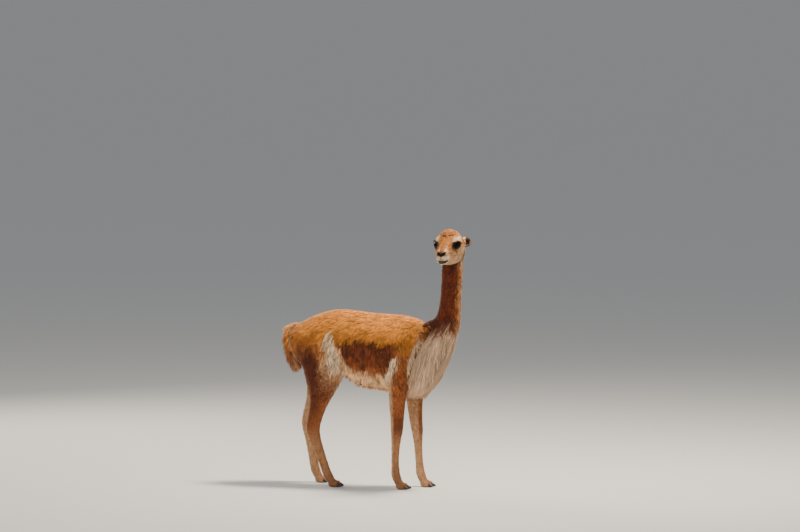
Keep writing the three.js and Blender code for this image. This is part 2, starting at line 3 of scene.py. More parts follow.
import bmesh
import bpy
import numpy as np
from bpy.props import FloatProperty, FloatVectorProperty, IntProperty, PointerProperty
from mathutils import Matrix, Vector
from mathutils.bvhtree import BVHTree
from mathutils.kdtree import KDTree


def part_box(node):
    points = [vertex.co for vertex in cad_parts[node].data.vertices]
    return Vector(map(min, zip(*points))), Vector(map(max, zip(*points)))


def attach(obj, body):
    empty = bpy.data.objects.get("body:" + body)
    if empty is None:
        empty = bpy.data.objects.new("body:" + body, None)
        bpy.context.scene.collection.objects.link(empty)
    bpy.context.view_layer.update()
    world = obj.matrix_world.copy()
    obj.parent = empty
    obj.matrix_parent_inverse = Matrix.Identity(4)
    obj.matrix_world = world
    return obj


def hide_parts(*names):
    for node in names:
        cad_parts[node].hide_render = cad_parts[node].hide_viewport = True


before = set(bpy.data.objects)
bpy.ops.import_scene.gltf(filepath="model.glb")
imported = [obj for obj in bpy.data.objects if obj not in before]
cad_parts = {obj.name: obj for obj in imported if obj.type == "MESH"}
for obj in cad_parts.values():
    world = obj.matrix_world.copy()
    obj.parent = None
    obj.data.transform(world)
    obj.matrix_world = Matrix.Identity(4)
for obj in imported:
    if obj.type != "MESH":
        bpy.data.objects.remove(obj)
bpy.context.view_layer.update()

bl_info = {
    "name": "Vicuna",
    "version": (1, 0, 0),
    "blender": (4, 5, 0),
    "location": "View3D > Sidebar > Vicuna",
    "description": "Dresses the solids of a standing vicuna with skin, eyes, hooves and coat",
    "category": "Add Mesh",
}

# Where the animal's own frame lies. Its X runs along the back, from a point over the middle of the trunk
# to the breast, its Y to the left, and its Z up from the soles.
TRUNK_REAR = 0.392
trunk_low, trunk_high = (np.array(corner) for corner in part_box("torso"))
ORIGIN = np.array([trunk_low[0] + TRUNK_REAR, (trunk_low[1] + trunk_high[1]) / 2, 0.0])

# The head has a frame of its own: forward along the nose, left, and up.
HEAD_CENTRE = np.array([0.469, -0.065, 1.190])
HEAD_TURN = math.radians(-86)
HEAD_AXES = np.array(
    [
        [math.cos(HEAD_TURN), math.sin(HEAD_TURN), 0.0],
        [-math.sin(HEAD_TURN), math.cos(HEAD_TURN), 0.0],
        [0.0, 0.0, 1.0],
    ]
)
EYE_AT = np.array([0.047, 0.0445, 0.010])
EYE_RADIUS = 0.0195
EYE_ANGLE = math.radians(60)
EYE_HALF_LONG = 0.0215
EYE_HALF_TALL = 0.0160
EAR_BASE = (-0.018, 0.052, 0.024)
EAR_LENGTH = 0.080
EAR_LIES = (-0.92, 0.30, -0.12)
EAR_OPENS = (0.50, 0.85, 0.06)
MOUTH_HEIGHT = -0.066
MOUTH_FRONT = 0.150
MOUTH_RISE = math.tan(math.radians(13))

# The meshes of the skin: the size of a face, and the rounds of smoothing.
BODY_MESH = (0.0066, 4)
HEAD_MESH = (0.0019, 4)
EAR_MESH = (0.0012, 3)
NAIL_MESH = (0.0011, 4)
# The solids swell by this much before they become one skin, which closes the fine gaps between them.
GAP_CLOSER = 0.0004
# The skin of the flank lies deeper than that of the back, so that the coat above overhangs it.
LEDGE_DEPTH = 0.012
# Height from which the head and the top of the neck have a finer skin of their own.
HEAD_SHELL_FOOT = 1.06
HEAD_SHELL_LAP = 0.014
# The solid of the neck ends flat. Behind the head the skin rises from there to the nape.
NECK_TOP = 1.155
NAPE_FRONT = -0.02
NAPE_SLOPE = 1.5
NAPE_LIMIT = 0.034
# Where the coat ends over the toes.
COAT_FOOT = 0.012

# Size of one tuft's patch on the opened skin.
TUFT_PATCH = 0.003
# The furthest that a tuft leans towards the middle of its lock.
LOCK_REACH = 0.012
# The brightest that a tuft may be.
TUFT_BRIGHTEST = 0.92

# How the tufts of a piece of the coat are made. steps counts the points along a tuft. every is how many
# tufts a lock has, pull how far they lean to its middle, stray how far they turn from the lie, in radians,
# and curl their wave. lift is how far they stand off the skin, as a share of their length, and droop how
# far they come back. root and tip scale the colour at a tuft's ends: root is painted shade deep in the
# coat, tip a painted highlight that also stands for paler hair tips. contrast is how much locks differ, and
# blend how far away, in metres, a tuft may take its colour from.
USUAL_TUFTS = dict(
    steps=3, every=9, pull=0.6, stray=0.22, curl=0.0, droop=0.5,
    root=0.42, tip=1.14, contrast=0.19, blend=0.004,
)
TUFTS = {
    "coat_back": dict(count=30000, seed=1, width=0.0027, stray=0.17, every=7, contrast=0.13),
    "coat_rump": dict(count=19000, seed=2, width=0.0028, lift=0.27, stray=0.18, every=7, contrast=0.14),
    "coat_flanks": dict(
        count=16500, seed=3, width=0.0040, lift=0.17, steps=4, stray=0.26, pull=0.75, contrast=0.34, tip=1.6
    ),
    "coat_haunch": dict(count=24500, seed=4, width=0.0032, lift=0.27, every=8, contrast=0.26, blend=0.006),
    "coat_hind_legs": dict(count=19500, seed=5, lift=0.22, every=6, pull=0.4, contrast=0.20, tip=1.25),
    "coat_fore_legs": dict(count=19500, seed=6, lift=0.22, every=6, pull=0.4, contrast=0.20, tip=1.25),
    "coat_neck": dict(count=24000, seed=7, width=0.0031, lift=0.27, every=8, contrast=0.30, tip=1.3),
    "coat_head": dict(
        count=27500, seed=8, lift=0.30, stray=0.15, every=6, pull=0.5, contrast=0.28, blend=0.0012
    ),
    "lashes": dict(count=420, seed=9, length=0.011, width=0.0011, lift=0.15, every=3, pull=0.3),
    "locks_fold": dict(
        count=1900, seed=21, length=0.058, width=0.0034, lift=0.22,
        steps=5, every=7, pull=0.9, curl=0.06, stray=0.16, contrast=0.24, blend=0.011,
    ),
    # The belly's fringe has lighter roots than the rest, which is painted light on the underside of the
    # belly.
    "locks_belly": dict(
        count=1500, seed=22, length=0.036, width=0.0040, lift=0.10,
        steps=5, every=6, pull=0.9, curl=0.05, root=0.6, tip=1.2,
    ),
    "locks_armpit": dict(
        count=1400, seed=23, length=0.048, width=0.0034, lift=0.18,
        steps=5, every=6, pull=0.9, curl=0.06, blend=0.007,
    ),
    "locks_elbow": dict(
        count=1300, seed=24, length=0.040, width=0.0042, lift=0.24,
        steps=5, every=6, pull=0.9, curl=0.10, contrast=0.36, tip=1.6,
    ),
    "locks_shoulder": dict(
        count=3200, seed=25, length=0.056, width=0.0044, lift=0.17, steps=5, every=6, pull=0.7, curl=0.04
    ),
    "locks_withers": dict(
        count=1300, seed=26, length=0.050, width=0.0042, lift=0.30, steps=5, every=6, pull=0.7
    ),
    "locks_nape": dict(
        count=1500, seed=29, length=0.017, width=0.0026, lift=0.10, steps=4, every=6, pull=0.5, contrast=0.24
    ),
    "ear_left_hair": dict(count=2600, seed=50, length=0.009, width=0.0016, lift=0.22, every=5),
    "ear_right_hair": dict(count=2600, seed=51, length=0.009, width=0.0016, lift=0.22, every=5),
}

# The long locks of the breast and of the tail: their lengths, how far round they grow, and their width. The
# shortest grow at the ends of each, and those between gain up to as much again as the second value says.
BREAST_LOCK_FOOT = 0.530
BREAST_LOCK_RANGE = 0.300
BREAST_LOCK_ROUND = math.radians(128)
BREAST_LOCK_SHORTEST = 0.080
BREAST_LOCK_GAIN = 0.085
TAIL_LOCK_ROUND = math.radians(150)
TAIL_LOCK_SHORTEST = 0.050
TAIL_LOCK_GAIN = 0.022
LONG_LOCK_WIDTH = 0.0046

# Where the pieces of the coat meet: the ends of the barrel, the foot of the rump, of the thigh and of the
# trunk over the foreleg.
BARREL = (-0.14, 0.235)
RUMP_FOOT = 0.68
THIGH_FOOT = 0.45
ELBOW_TOP = 0.60
# Colour of the lashes.
LASH = (0.05, 0.035, 0.03)

LEGS = ("leg_hind_right", "leg_hind_left", "leg_fore_right", "leg_fore_left")
LEG_PARTS = ("upper", "lower", "foot")
FLESH = ["torso", "neck", "head", *(f"{leg}_{part}" for leg in LEGS for part in LEG_PARTS)]

# Parts of the coat, numbered so that one array can hold the part of every point.
TRUNK, HIND, FORE, NECK, HEAD, BREAST, TAIL, EAR = range(8)


def to_body(points):
    """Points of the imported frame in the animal's own frame."""
    return np.asarray(points) - ORIGIN


def to_head(points):
    """Points of the animal's frame in the head's frame."""
    return (np.asarray(points) - HEAD_CENTRE) @ HEAD_AXES.T


def head_point(forward, left, up):
    """A place in the head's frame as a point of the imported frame."""
    return HEAD_CENTRE + np.array([forward, left, up]) @ HEAD_AXES + ORIGIN


def head_direction(forward, left, up):
    """A direction in the head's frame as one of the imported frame."""
    return unit(np.array([forward, left, up], dtype=float) @ HEAD_AXES)


def unit(vectors):
    """The vectors scaled to length one."""
    vectors = np.asarray(vectors, dtype=float)
    return vectors / np.maximum(np.linalg.norm(vectors, axis=-1, keepdims=True), 1e-9)


def ease(start, end, values):
    """A smooth rise from 0 at start to 1 at end."""
    t = np.clip((np.asarray(values, dtype=float) - start) / (end - start), 0.0, 1.0)
    return t * t * (3 - 2 * t)


def below(start, end, values):
    """A smooth fall from 1 at start to 0 at end."""
    return 1 - ease(start, end, values)


def bump_at(values, centre, reach):
    """1 at the centre, falling smoothly to 0 at the reach on both sides."""
    return below(0.0, reach, np.abs(np.asarray(values, dtype=float) - centre))


def mottle(points, size, seed):
    """Soft patches of about that size, between -1 and 1, the same at every run."""
    draw = np.random.default_rng(seed)
    total = np.zeros(len(points))
    for _ in range(7):
        wave = unit(draw.normal(size=3)) * (2 * math.pi / size) * draw.uniform(0.6, 1.7)
        total += np.sin(points @ wave + draw.uniform(0, 2 * math.pi))
    return np.clip(total / 3.2, -1, 1)


def stretched(points, share):
    """The points with their heights squeezed, so that a pattern over them runs out lengthwise."""
    return points * np.array([1.0, 1.0, share])


def linear(colour):
    """A colour picked on a screen, as the linear values that a shader reads."""
    c = np.asarray(colour, dtype=float)
    return np.where(c <= 0.04045, c / 12.92, ((c + 0.055) / 1.055) ** 2.4)


def linear_tones(colours, *names):
    """Some of the colours by name, as linear values."""
    return [linear(getattr(colours, name)) for name in names]


class VicunaColours(bpy.types.PropertyGroup):
    """Colours of the coat and of the bare skin."""

    saddle: FloatVectorProperty(
        name="Saddle", description="Sunlit back", subtype="COLOR", default=(0.84, 0.52, 0.17)
    )
    # The flank's dark brown is partly the coat's own colour and partly painted shade under the overhanging
    # saddle.
    flank: FloatVectorProperty(
        name="Flank", description="Panel under the saddle", subtype="COLOR", default=(0.30, 0.11, 0.025)
    )
    limb: FloatVectorProperty(
        name="Limb", description="Outside of the legs", subtype="COLOR", default=(0.53, 0.29, 0.135)
    )
    neck: FloatVectorProperty(
        name="Neck", description="Sides of the neck", subtype="COLOR", default=(0.36, 0.14, 0.03)
    )
    face: FloatVectorProperty(
        name="Face", description="Forehead and bridge", subtype="COLOR", default=(0.64, 0.385, 0.12)
    )
    cream: FloatVectorProperty(
        name="Cream", description="Belly and inner legs", subtype="COLOR", default=(0.80, 0.63, 0.46)
    )
    white: FloatVectorProperty(
        name="White", description="Folds of the flank", subtype="COLOR", default=(0.97, 0.86, 0.70)
    )
    breast: FloatVectorProperty(
        name="Breast", description="Long breast coat", subtype="COLOR", default=(0.76, 0.62, 0.49)
    )
    bare: FloatVectorProperty(
        name="Bare skin", description="Nose, lids and lips", subtype="COLOR", default=(0.06, 0.045, 0.04)
    )
    floor: FloatVectorProperty(
        name="Floor", description="Floor and backdrop", subtype="COLOR", default=(0.80, 0.79, 0.77)
    )


class VicunaCoat(bpy.types.PropertyGroup):
    """Lengths of the coat and how many tufts make it."""

    back_length: FloatProperty(name="Back", description="Hair on the back", default=0.031, unit="LENGTH")
    flank_length: FloatProperty(
        name="Flank", description="Hair on the flank panel", default=0.040, unit="LENGTH"
    )
    belly_length: FloatProperty(
        name="Belly", description="Hair under the belly", default=0.044, unit="LENGTH"
    )
    neck_length: FloatProperty(name="Neck", description="Hair on the neck", default=0.020, unit="LENGTH")
    leg_length: FloatProperty(
        name="Leg", description="Hair on the lower legs", default=0.010, unit="LENGTH"
    )
    crown_length: FloatProperty(name="Crown", description="Hair on the crown", default=0.013, unit="LENGTH")
    face_length: FloatProperty(name="Face", description="Hair on the muzzle", default=0.0045, unit="LENGTH")
    tuft_share: FloatProperty(name="Tufts", description="Share of the full number of tufts", default=1.0)
    breast_locks: IntProperty(name="Breast locks", description="Long locks on the breast", default=7200)
    tail_locks: IntProperty(name="Tail locks", description="Locks on the tail", default=2400)
    seed: IntProperty(name="Seed", description="Start of the random draws", default=11)


class VicunaStage(bpy.types.PropertyGroup):
    """Camera and floor."""

    azimuth: FloatProperty(name="Azimuth", description="Camera turned round the animal", default=22.0)
    elevation: FloatProperty(name="Elevation", description="Camera above the horizon", default=4.0)
    distance: FloatProperty(name="Distance", description="Camera to animal", default=30.0, unit="LENGTH")
    frame_width: FloatProperty(
        name="Frame width", description="Width seen at the animal", default=3.902, unit="LENGTH"
    )
    aim_right: FloatProperty(
        name="Aim right", description="Frame's middle beside the animal's", default=0.171, unit="LENGTH"
    )
    aim_height: FloatProperty(
        name="Aim height", description="Height of the frame's middle", default=1.078, unit="LENGTH"
    )
    floor_size: FloatProperty(
        name="Floor", description="Length and width of the floor", default=1800.0, unit="LENGTH"
    )


def settings():
    """The colours, the coat and the stage that the scene holds."""
    return bpy.context.scene.vicuna_colours, bpy.context.scene.vicuna_coat, bpy.context.scene.vicuna_stage


# Lights: place, size, power and colour.
LIGHTS = {
    "key": ((1.5, 0.7, 4.6), 0.9, 470, (1.0, 0.90, 0.74)),
    "fill": ((0.5, -6.0, 2.2), 4.0, 150, (1.0, 0.98, 0.95)),
    "rim": ((-3.5, 2.5, 2.6), 1.5, 120, (1.0, 0.93, 0.82)),
}
LIT_POINT = (0, 0, 0.7)
SURROUND = (0.88, 0.90, 0.93)
SURROUND_POWER = 0.50


# Materials


def new_material(name):
    """A material with its Principled shader, and the node tree to add to."""
    material = bpy.data.materials.new(name)
    material.use_nodes = True
    return material, material.node_tree, material.node_tree.nodes["Principled BSDF"]


def grain_group():
    """Fine streaks and specks for hair and skin: a factor for the colour and a height for the bump."""
    name = "Hair grain"
    if name in bpy.data.node_groups:
        return bpy.data.node_groups[name]
    group = bpy.data.node_groups.new(name, "ShaderNodeTree")
    group.interface.new_socket("Colour", in_out="INPUT", socket_type="NodeSocketColor")
    group.interface.new_socket("Scale", in_out="INPUT", socket_type="NodeSocketFloat")
    group.interface.new_socket("Strength", in_out="INPUT", socket_type="NodeSocketFloat")
    group.interface.new_socket("Colour", in_out="OUTPUT", socket_type="NodeSocketColor")
    group.interface.new_socket("Height", in_out="OUTPUT", socket_type="NodeSocketFloat")
    nodes, links = group.nodes, group.links
    given, result = nodes.new("NodeGroupInput"), nodes.new("NodeGroupOutput")
    place = nodes.new("ShaderNodeTexCoord")
    stretch = nodes.new("ShaderNodeMapping")
    stretch.inputs["Scale"].default_value = (1.0, 1.0, 0.35)
    noise = nodes.new("ShaderNodeTexNoise")
    noise.inputs["Detail"].default_value = 3.0
    spread = nodes.new("ShaderNodeMath")
    spread.operation = "MULTIPLY_ADD"
    spread.inputs[2].default_value = 1.0
    centred = nodes.new("ShaderNodeMath")
    centred.operation = "SUBTRACT"
    centred.inputs[1].default_value = 0.5
    tint = nodes.new("ShaderNodeVectorMath")
    tint.operation = "SCALE"
    links.new(place.outputs["Object"], stretch.inputs["Vector"])
    links.new(stretch.outputs["Vector"], noise.inputs["Vector"])
    links.new(given.outputs["Scale"], noise.inputs["Scale"])
    links.new(noise.outputs["Fac"], centred.inputs[0])
    links.new(centred.outputs[0], spread.inputs[0])
    links.new(given.outputs["Strength"], spread.inputs[1])
    links.new(given.outputs["Colour"], tint.inputs[0])
    links.new(spread.outputs[0], tint.inputs["Scale"])
    links.new(tint.outputs["Vector"], result.inputs["Colour"])
    links.new(noise.outputs["Fac"], result.inputs["Height"])
    return group


def marked_material(name, roughness, grain, strength, bump=0.0, sheen=0.0):
    """A material that reads the piece's markings, their painted shade and light included, and breaks them up
    with fine grain.
    """
    material, tree, shader = new_material(name)
    marks = tree.nodes.new("ShaderNodeAttribute")
    marks.attribute_name = "markings"
    specks = tree.nodes.new("ShaderNodeGroup")
    specks.node_tree = grain_group()
    specks.inputs["Scale"].default_value = grain
    specks.inputs["Strength"].default_value = strength
    tree.links.new(marks.outputs["Color"], specks.inputs["Colour"])
    tree.links.new(specks.outputs["Colour"], shader.inputs["Base Color"])
    shader.inputs["Roughness"].default_value = roughness
    shader.inputs["Specular IOR Level"].default_value = 0.25
    shader.inputs["Sheen Weight"].default_value = sheen
    shader.inputs["Sheen Roughness"].default_value = 0.5
    if bump:
        lift = tree.nodes.new("ShaderNodeBump")
        lift.inputs["Strength"].default_value = bump
        lift.inputs["Distance"].default_value = 0.002
        tree.links.new(specks.outputs["Height"], lift.inputs["Height"])
        tree.links.new(lift.outputs["Normal"], shader.inputs["Normal"])
    return material


def eye_material():
    """A wet, near black eye with a dark brown iris seen only where light falls across it."""
    material, tree, shader = new_material("Wet eye")
    marks = tree.nodes.new("ShaderNodeAttribute")
    marks.attribute_name = "markings"
    tree.links.new(marks.outputs["Color"], shader.inputs["Base Color"])
    shader.inputs["Roughness"].default_value = 0.14
    shader.inputs["Specular IOR Level"].default_value = 0.08
    return material


def horn_material():
    """Dull dark horn with fine lengthwise lines."""
    material, tree, shader = new_material("Nail horn")
    place = tree.nodes.new("ShaderNodeTexCoord")
    noise = tree.nodes.new("ShaderNodeTexNoise")
    noise.inputs["Scale"].default_value = 260.0
    ramp = tree.nodes.new("ShaderNodeValToRGB")
    ramp.color_ramp.elements[0].color = (*linear((0.10, 0.075, 0.06)), 1)
    ramp.color_ramp.elements[1].color = (*linear((0.27, 0.21, 0.16)), 1)
    lift = tree.nodes.new("ShaderNodeBump")
    lift.inputs["Strength"].default_value = 0.3
    lift.inputs["Distance"].default_value = 0.001
    tree.links.new(place.outputs["Object"], noise.inputs["Vector"])
    tree.links.new(noise.outputs["Fac"], ramp.inputs["Fac"])
    tree.links.new(ramp.outputs["Color"], shader.inputs["Base Color"])
    tree.links.new(noise.outputs["Fac"], lift.inputs["Height"])
    tree.links.new(lift.outputs["Normal"], shader.inputs["Normal"])
    shader.inputs["Roughness"].default_value = 0.5
    return material


# Meshes


def add_object(name, mesh, material=None):
    """A mesh as an object of the scene, with its material."""
    made = bpy.data.objects.new(name, mesh)
    bpy.context.scene.collection.objects.link(made)
    if material is not None:
        made.data.materials.clear()
        made.data.materials.append(material)
    return made


def points_of(mesh):
    """The places of the mesh's vertices as rows."""
    flat = np.empty(len(mesh.vertices) * 3)
    mesh.vertices.foreach_get("co", flat)
    return flat.reshape(-1, 3)


def normals_of(mesh):
    """The normals of the mesh's vertices as rows."""
    flat = np.empty(len(mesh.vertices) * 3)
    mesh.vertex_normals.foreach_get("vector", flat)
    return flat.reshape(-1, 3)


def paint(mesh, colours):
    """Writes the markings, one colour for each vertex."""
    layer = mesh.attributes.get("markings") or mesh.attributes.new("markings", "FLOAT_COLOR", "POINT")
    layer.data.foreach_set("color", np.column_stack([colours, np.ones(len(colours))]).ravel())


def merged_copy(nodes):
    """One mesh of the solids of these nodes, with their doubles merged."""
    shape = bmesh.new()
    for node in nodes:
        shape.from_mesh(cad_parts[node].data)
    bmesh.ops.remove_doubles(shape, verts=shape.verts, dist=1e-6)
    return shape


def on_root(made, slot, *nodes):
    """Rides the piece on the one body, in the place of the nodes that it stands for."""
    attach(made, "root")
    if nodes:
        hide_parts(*nodes)


def apply_modifiers(made):
    """Replaces the object's mesh by what its modifiers make of it."""
    graph = bpy.context.evaluated_depsgraph_get()
    result = bpy.data.meshes.new_from_object(made.evaluated_get(graph))
    made.modifiers.clear()
    made.data = result
    return made


def remeshed(name, shape, voxel, smooth_steps):
    """The closed shape as one even skin."""
    mesh = bpy.data.meshes.new(name)
    shape.to_mesh(mesh)
    shape.free()
    made = add_object(name, mesh)
    remesh = made.modifiers.new("Even", "REMESH")
    remesh.mode = "VOXEL"
    remesh.voxel_size = voxel
    smooth = made.modifiers.new("Soft", "SMOOTH")
    smooth.factor = 0.5
    smooth.iterations = smooth_steps
    return apply_modifiers(made)


def lofted(shape, rings):
    """Adds a closed form to the shape: circles at their places, bridged, with flat ends.

    Each ring is (centre, across, along, half across, half along)."""
    loops = []
    for centre, across, along, half_across, half_along in rings:
        turn = np.eye(4)
        axes = (across * half_across, along * half_along, np.cross(across, along), centre)
        turn[:3] = np.stack(axes, axis=1)
        made = bmesh.ops.create_circle(shape, segments=24, radius=1.0, matrix=Matrix(turn.tolist()))
        loops.append(made["verts"])
    for low, high in zip(loops, loops[1:]):
        edges = [e for e in shape.edges if all(v in low or v in high for v in e.verts)]
        bmesh.ops.bridge_loops(shape, edges=edges)
    for end in (loops[0], loops[-1]):
        bmesh.ops.contextual_create(shape, geom=end)
    return shape


# The breast's outline, as in the solids: heights, its front, its middle and its half width there.
BREAST_ROWS = np.array(
    [
        [0.830, 0.500, 0.440, 0.054],
        [0.790, 0.494, 0.424, 0.062],
        [0.750, 0.486, 0.404, 0.076],
        [0.710, 0.478, 0.384, 0.090],
        [0.670, 0.465, 0.364, 0.100],
        [0.630, 0.448, 0.346, 0.106],
        [0.590, 0.429, 0.328, 0.106],
        [0.550, 0.412, 0.310, 0.102],
        [0.510, 0.386, 0.294, 0.092],
        [0.480, 0.358, 0.280, 0.078],
        [0.452, 0.326, 0.268, 0.060],
    ]
)
# The tail's middle line, from its root: places along the back, heights and radii.
TAIL_ROWS = np.array(
    [
        [-0.346, 0.776, 0.019],
        [-0.376, 0.765, 0.021],
        [-0.393, 0.735, 0.021],
        [-0.396, 0.695, 0.019],
        [-0.390, 0.652, 0.016],
        [-0.379, 0.614, 0.012],
        [-0.368, 0.588, 0.006],
    ]
)


def breast_outline(heights, angles, depths):
    """Points at a depth under the breast's outline, in the animal's frame."""
    rows = BREAST_ROWS[::-1]
    heights = np.asarray(heights, dtype=float)
    front, middle, half = (np.interp(heights, rows[:, 0], rows[:, k]) for k in (1, 2, 3))
    reach = np.maximum(front - middle - depths, 0.006)
    wide = np.maximum(half - depths, 0.006)
    return np.stack([middle + np.cos(angles) * reach, np.sin(angles) * wide, heights], axis=-1)


def hanging(angles, tops, drops):
    """Where round the breast a lock has come to after its drop, as it hangs straighter than the breast."""
    rows = BREAST_ROWS[::-1]
    lean = np.interp(tops, rows[:, 0], rows[:, 2]) - np.interp(tops - drops, rows[:, 0], rows[:, 2])
    cosines = np.clip(np.cos(angles) + 0.65 * lean / 0.09, -1.0, 0.998)
    return np.where(np.cos(angles) > 0.9, angles, np.sign(angles) * np.arccos(cosines))


def tail_outline(shares):
    """Centre, direction and radius along the tail, in the animal's frame."""
    steps = np.linspace(0, 1, len(TAIL_ROWS))

    def at(where):
        place = np.interp(where, steps, TAIL_ROWS[:, 0])
        return np.stack([place, np.zeros(len(where)), np.interp(where, steps, TAIL_ROWS[:, 1])], axis=-1)

    return at(shares), unit(at(shares + 0.04) - at(shares - 0.04)), np.interp(shares, steps, TAIL_ROWS[:, 2])


def breast_core_rings():
    """Rings of the breast's flesh, under its long locks."""
    for height in (0.832, 0.80, 0.765, 0.72, 0.675, 0.63, 0.59, 0.555, 0.525):
        depth = 0.012 + 0.018 * float(ease(0.80, 0.64, height)) + 0.012 * float(ease(0.56, 0.52, height))
        front, rear = (breast_outline([height], np.array([angle]), depth)[0] for angle in (0.0, math.pi))
        side = breast_outline([height], np.array([math.pi / 2]), depth * 0.45)[0]
        centre = (front + rear) / 2
        yield centre + ORIGIN, np.array([1.0, 0, 0]), np.array([0, 1.0, 0]), (front - rear)[0] / 2, side[1]


def tail_core_rings():
    """Rings of the tail's flesh, under its locks."""
    for share in np.linspace(0.0, 1.0, 9):
        centre, ahead, radius = (v[0] for v in tail_outline(np.array([share])))
        left = np.array([0, 1.0, 0])
        back = unit(np.cross(ahead, left))
        yield centre + ORIGIN, left, back, radius, radius * 0.8


def part_of_points(points):
    """The part that each point belongs to: that of the nearest solid."""
    owners = {"torso": TRUNK, "neck": NECK, "head": HEAD, "breast_bib": BREAST, "tail": TAIL}
    for leg in LEGS:
        owners.update({f"{leg}_{part}": HIND if "hind" in leg else FORE for part in LEG_PARTS})
    best = np.full(len(points), np.inf)
    parts = np.zeros(len(points), dtype=int)
    for node, part in owners.items():
        low, high = (np.array(corner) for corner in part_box(node))
        near = np.where(np.all((points > low - 0.03) & (points < high + 0.03), axis=1))[0]
        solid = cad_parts[node].data
        corners = [vertex.co[:] for vertex in solid.vertices]
        tree = BVHTree.FromPolygons(corners, [face.vertices[:] for face in solid.polygons])
        for k in near:
            found = tree.find_nearest(points[k].tolist(), 0.05)[3]
            if found is not None and found < best[k]:
                best[k] = found
                parts[k] = part
    return parts


class LegAxes:
    """The middle line of each leg, read from the solids, to tell its front, back, inside and outside."""

    def __init__(self):
        self.lines = {}
        for leg in LEGS:
            solids = [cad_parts[f"{leg}_{part}"].data for part in ("upper", "lower")]
            solid = np.concatenate([points_of(mesh) for mesh in solids])
            heights = np.linspace(solid[:, 2].min() + 0.005, solid[:, 2].max() - 0.005, 26)
            middles = []
            for height in heights:
                near = solid[np.abs(solid[:, 2] - height) < 0.02]
                near = near if len(near) else solid
                middles.append((near.min(axis=0) + near.max(axis=0))[:2] / 2)
            self.lines[leg] = (heights, np.array(middles))

    def towards(self, points, normals):
        """How much each point faces forward and outward on its own leg."""
        ahead, outward = np.zeros(len(points)), np.zeros(len(points))
        nearest = np.full(len(points), np.inf)
        for leg, (heights, middles) in self.lines.items():
            x = np.interp(points[:, 2], heights, middles[:, 0])
            y = np.interp(points[:, 2], heights, middles[:, 1])
            away = np.hypot(points[:, 0] - x, points[:, 1] - y)
            side = -1 if "right" in leg else 1
            own = away < nearest
            nearest[own] = away[own]
            ahead[own] = normals[own, 0]
            outward[own] = side * normals[own, 1]
        return ahead, outward


leg_axes = LegAxes()


# Markings and lie of the coat, with some painted shade and light among the markings. Places are in the
# animal's
# own frame, in metres: x along the back, y to the left, z up. A pair is where a mark starts to show or fade
# and where it has done so. A curve is a list of places and the list of what it is there.

SADDLE_EDGE = 0.722
FLANK_REAR = -0.100
FLANK_REAR_FOOT = 0.665
FLANK_FRONT = (0.16, 0.27)
BELLY_EDGE = ([-0.10, -0.053, 0.02, 0.095, 0.13, 0.17, 0.21], [0.60, 0.574, 0.556, 0.548, 0.556, 0.60, 0.65])
BELLY_LENGTH = (-0.11, -0.07, 0.165, 0.20)
FOLD_LINE = ([0.576, 0.615, 0.664, 0.713, 0.767], [-0.119, -0.118, -0.132, -0.144, -0.132])
FOLD_TOP = (0.752, 0.775)
FOLD_FOOT = (0.54, 0.60)
ARMPIT = (0.168, 0.58)
ARMPIT_TOP = (0.635, 0.66)
ARMPIT_FOOT = (0.495, 0.52)
BREAST_EDGE = ([0.51, 0.588, 0.666, 0.70, 0.736, 0.76], [0.266, 0.264, 0.277, 0.293, 0.314, 0.338])
BREAST_TOP = (0.745, 0.775)
THIGH_LINE = (-0.215, -0.165)
THIGH_FRONT = (-0.075, -0.045)
THIGH_STRIPE = -0.252
SHOULDER_LINE = (0.19, 0.23)
NECK_ROOT = (0.316, 0.736)
# Height of a painted shadow along a fold of the coat.
CREASE_SHADOW_HEIGHT = 0.752
KNEE = 0.31
THROAT_TOP = (1.06, 1.12)
NECK_PARTING = (0.476, 1.070)
TAIL_REAR = -0.385

# Marks of the head, in its own frame: f forward along the nose, l left, u up.
BROW = (0.052, 0.037)
BRIDGE_STRIPE = (0.019, 0.004)
BESIDE_NOSE = (0.018, -0.018)
# The tear streak is partly a brown streak and partly painted shade under the eye.
TEAR_STREAK_AND_SHADE = (0.041, -0.008)
UPPER_LIP = (0.008, -0.060)
CHEEK_TOP = (-0.026, -0.002)
MUZZLE = (0.088, 0.112)
NOSE_RISE = 0.55
NOSE_FOOT = -0.036
# Painted shadows in small dents of the forehead: their places across and up.
FOREHEAD_DENT_SHADOWS = ((-0.013, 0.053), (0.021, 0.054))
CHEEK_FLECKS = ((0.036, -0.027, 0.016), (0.030, -0.008, 0.012), (0.046, -0.040, 0.012), (0.022, 0.014, 0.010))


def saddle_edge(x):
    """Height of the edge where the coat of the back overhangs the flank."""
    return SADDLE_EDGE + 0.006 * np.sin(x * 31 + 0.6) + 0.004 * np.sin(x * 83) - 0.16 * (x - 0.05) ** 2


def flank_window(x, z):
    """1 over the flank between the fold before the thigh and the shoulder, 0 beyond them."""
    rear = FLANK_REAR - 0.50 * np.minimum(z - FLANK_REAR_FOOT, 0.0)
    return ease(rear - 0.012, rear + 0.012, x) * below(*FLANK_FRONT, x)


def belly_edge(x):
    """Height where the panel of the flank ends over the pale belly."""
    return np.interp(x, *BELLY_EDGE)


def fold_line(z):
    """Middle of the pale fold of skin between the flank and the thigh."""
    return np.interp(z, *FOLD_LINE)


def armpit_line(z):
    """Middle of the pale patch behind the elbow."""
    return ARMPIT[0] + 0.50 * (z - ARMPIT[1])


def breast_edge(z):
    """Where the white of the breast begins on the shoulder."""
    return np.interp(z, *BREAST_EDGE)


def mix(base, other, share):
    """The base colours turned towards the other by a share for each point."""
    return base + (other - base) * np.asarray(share)[:, None]


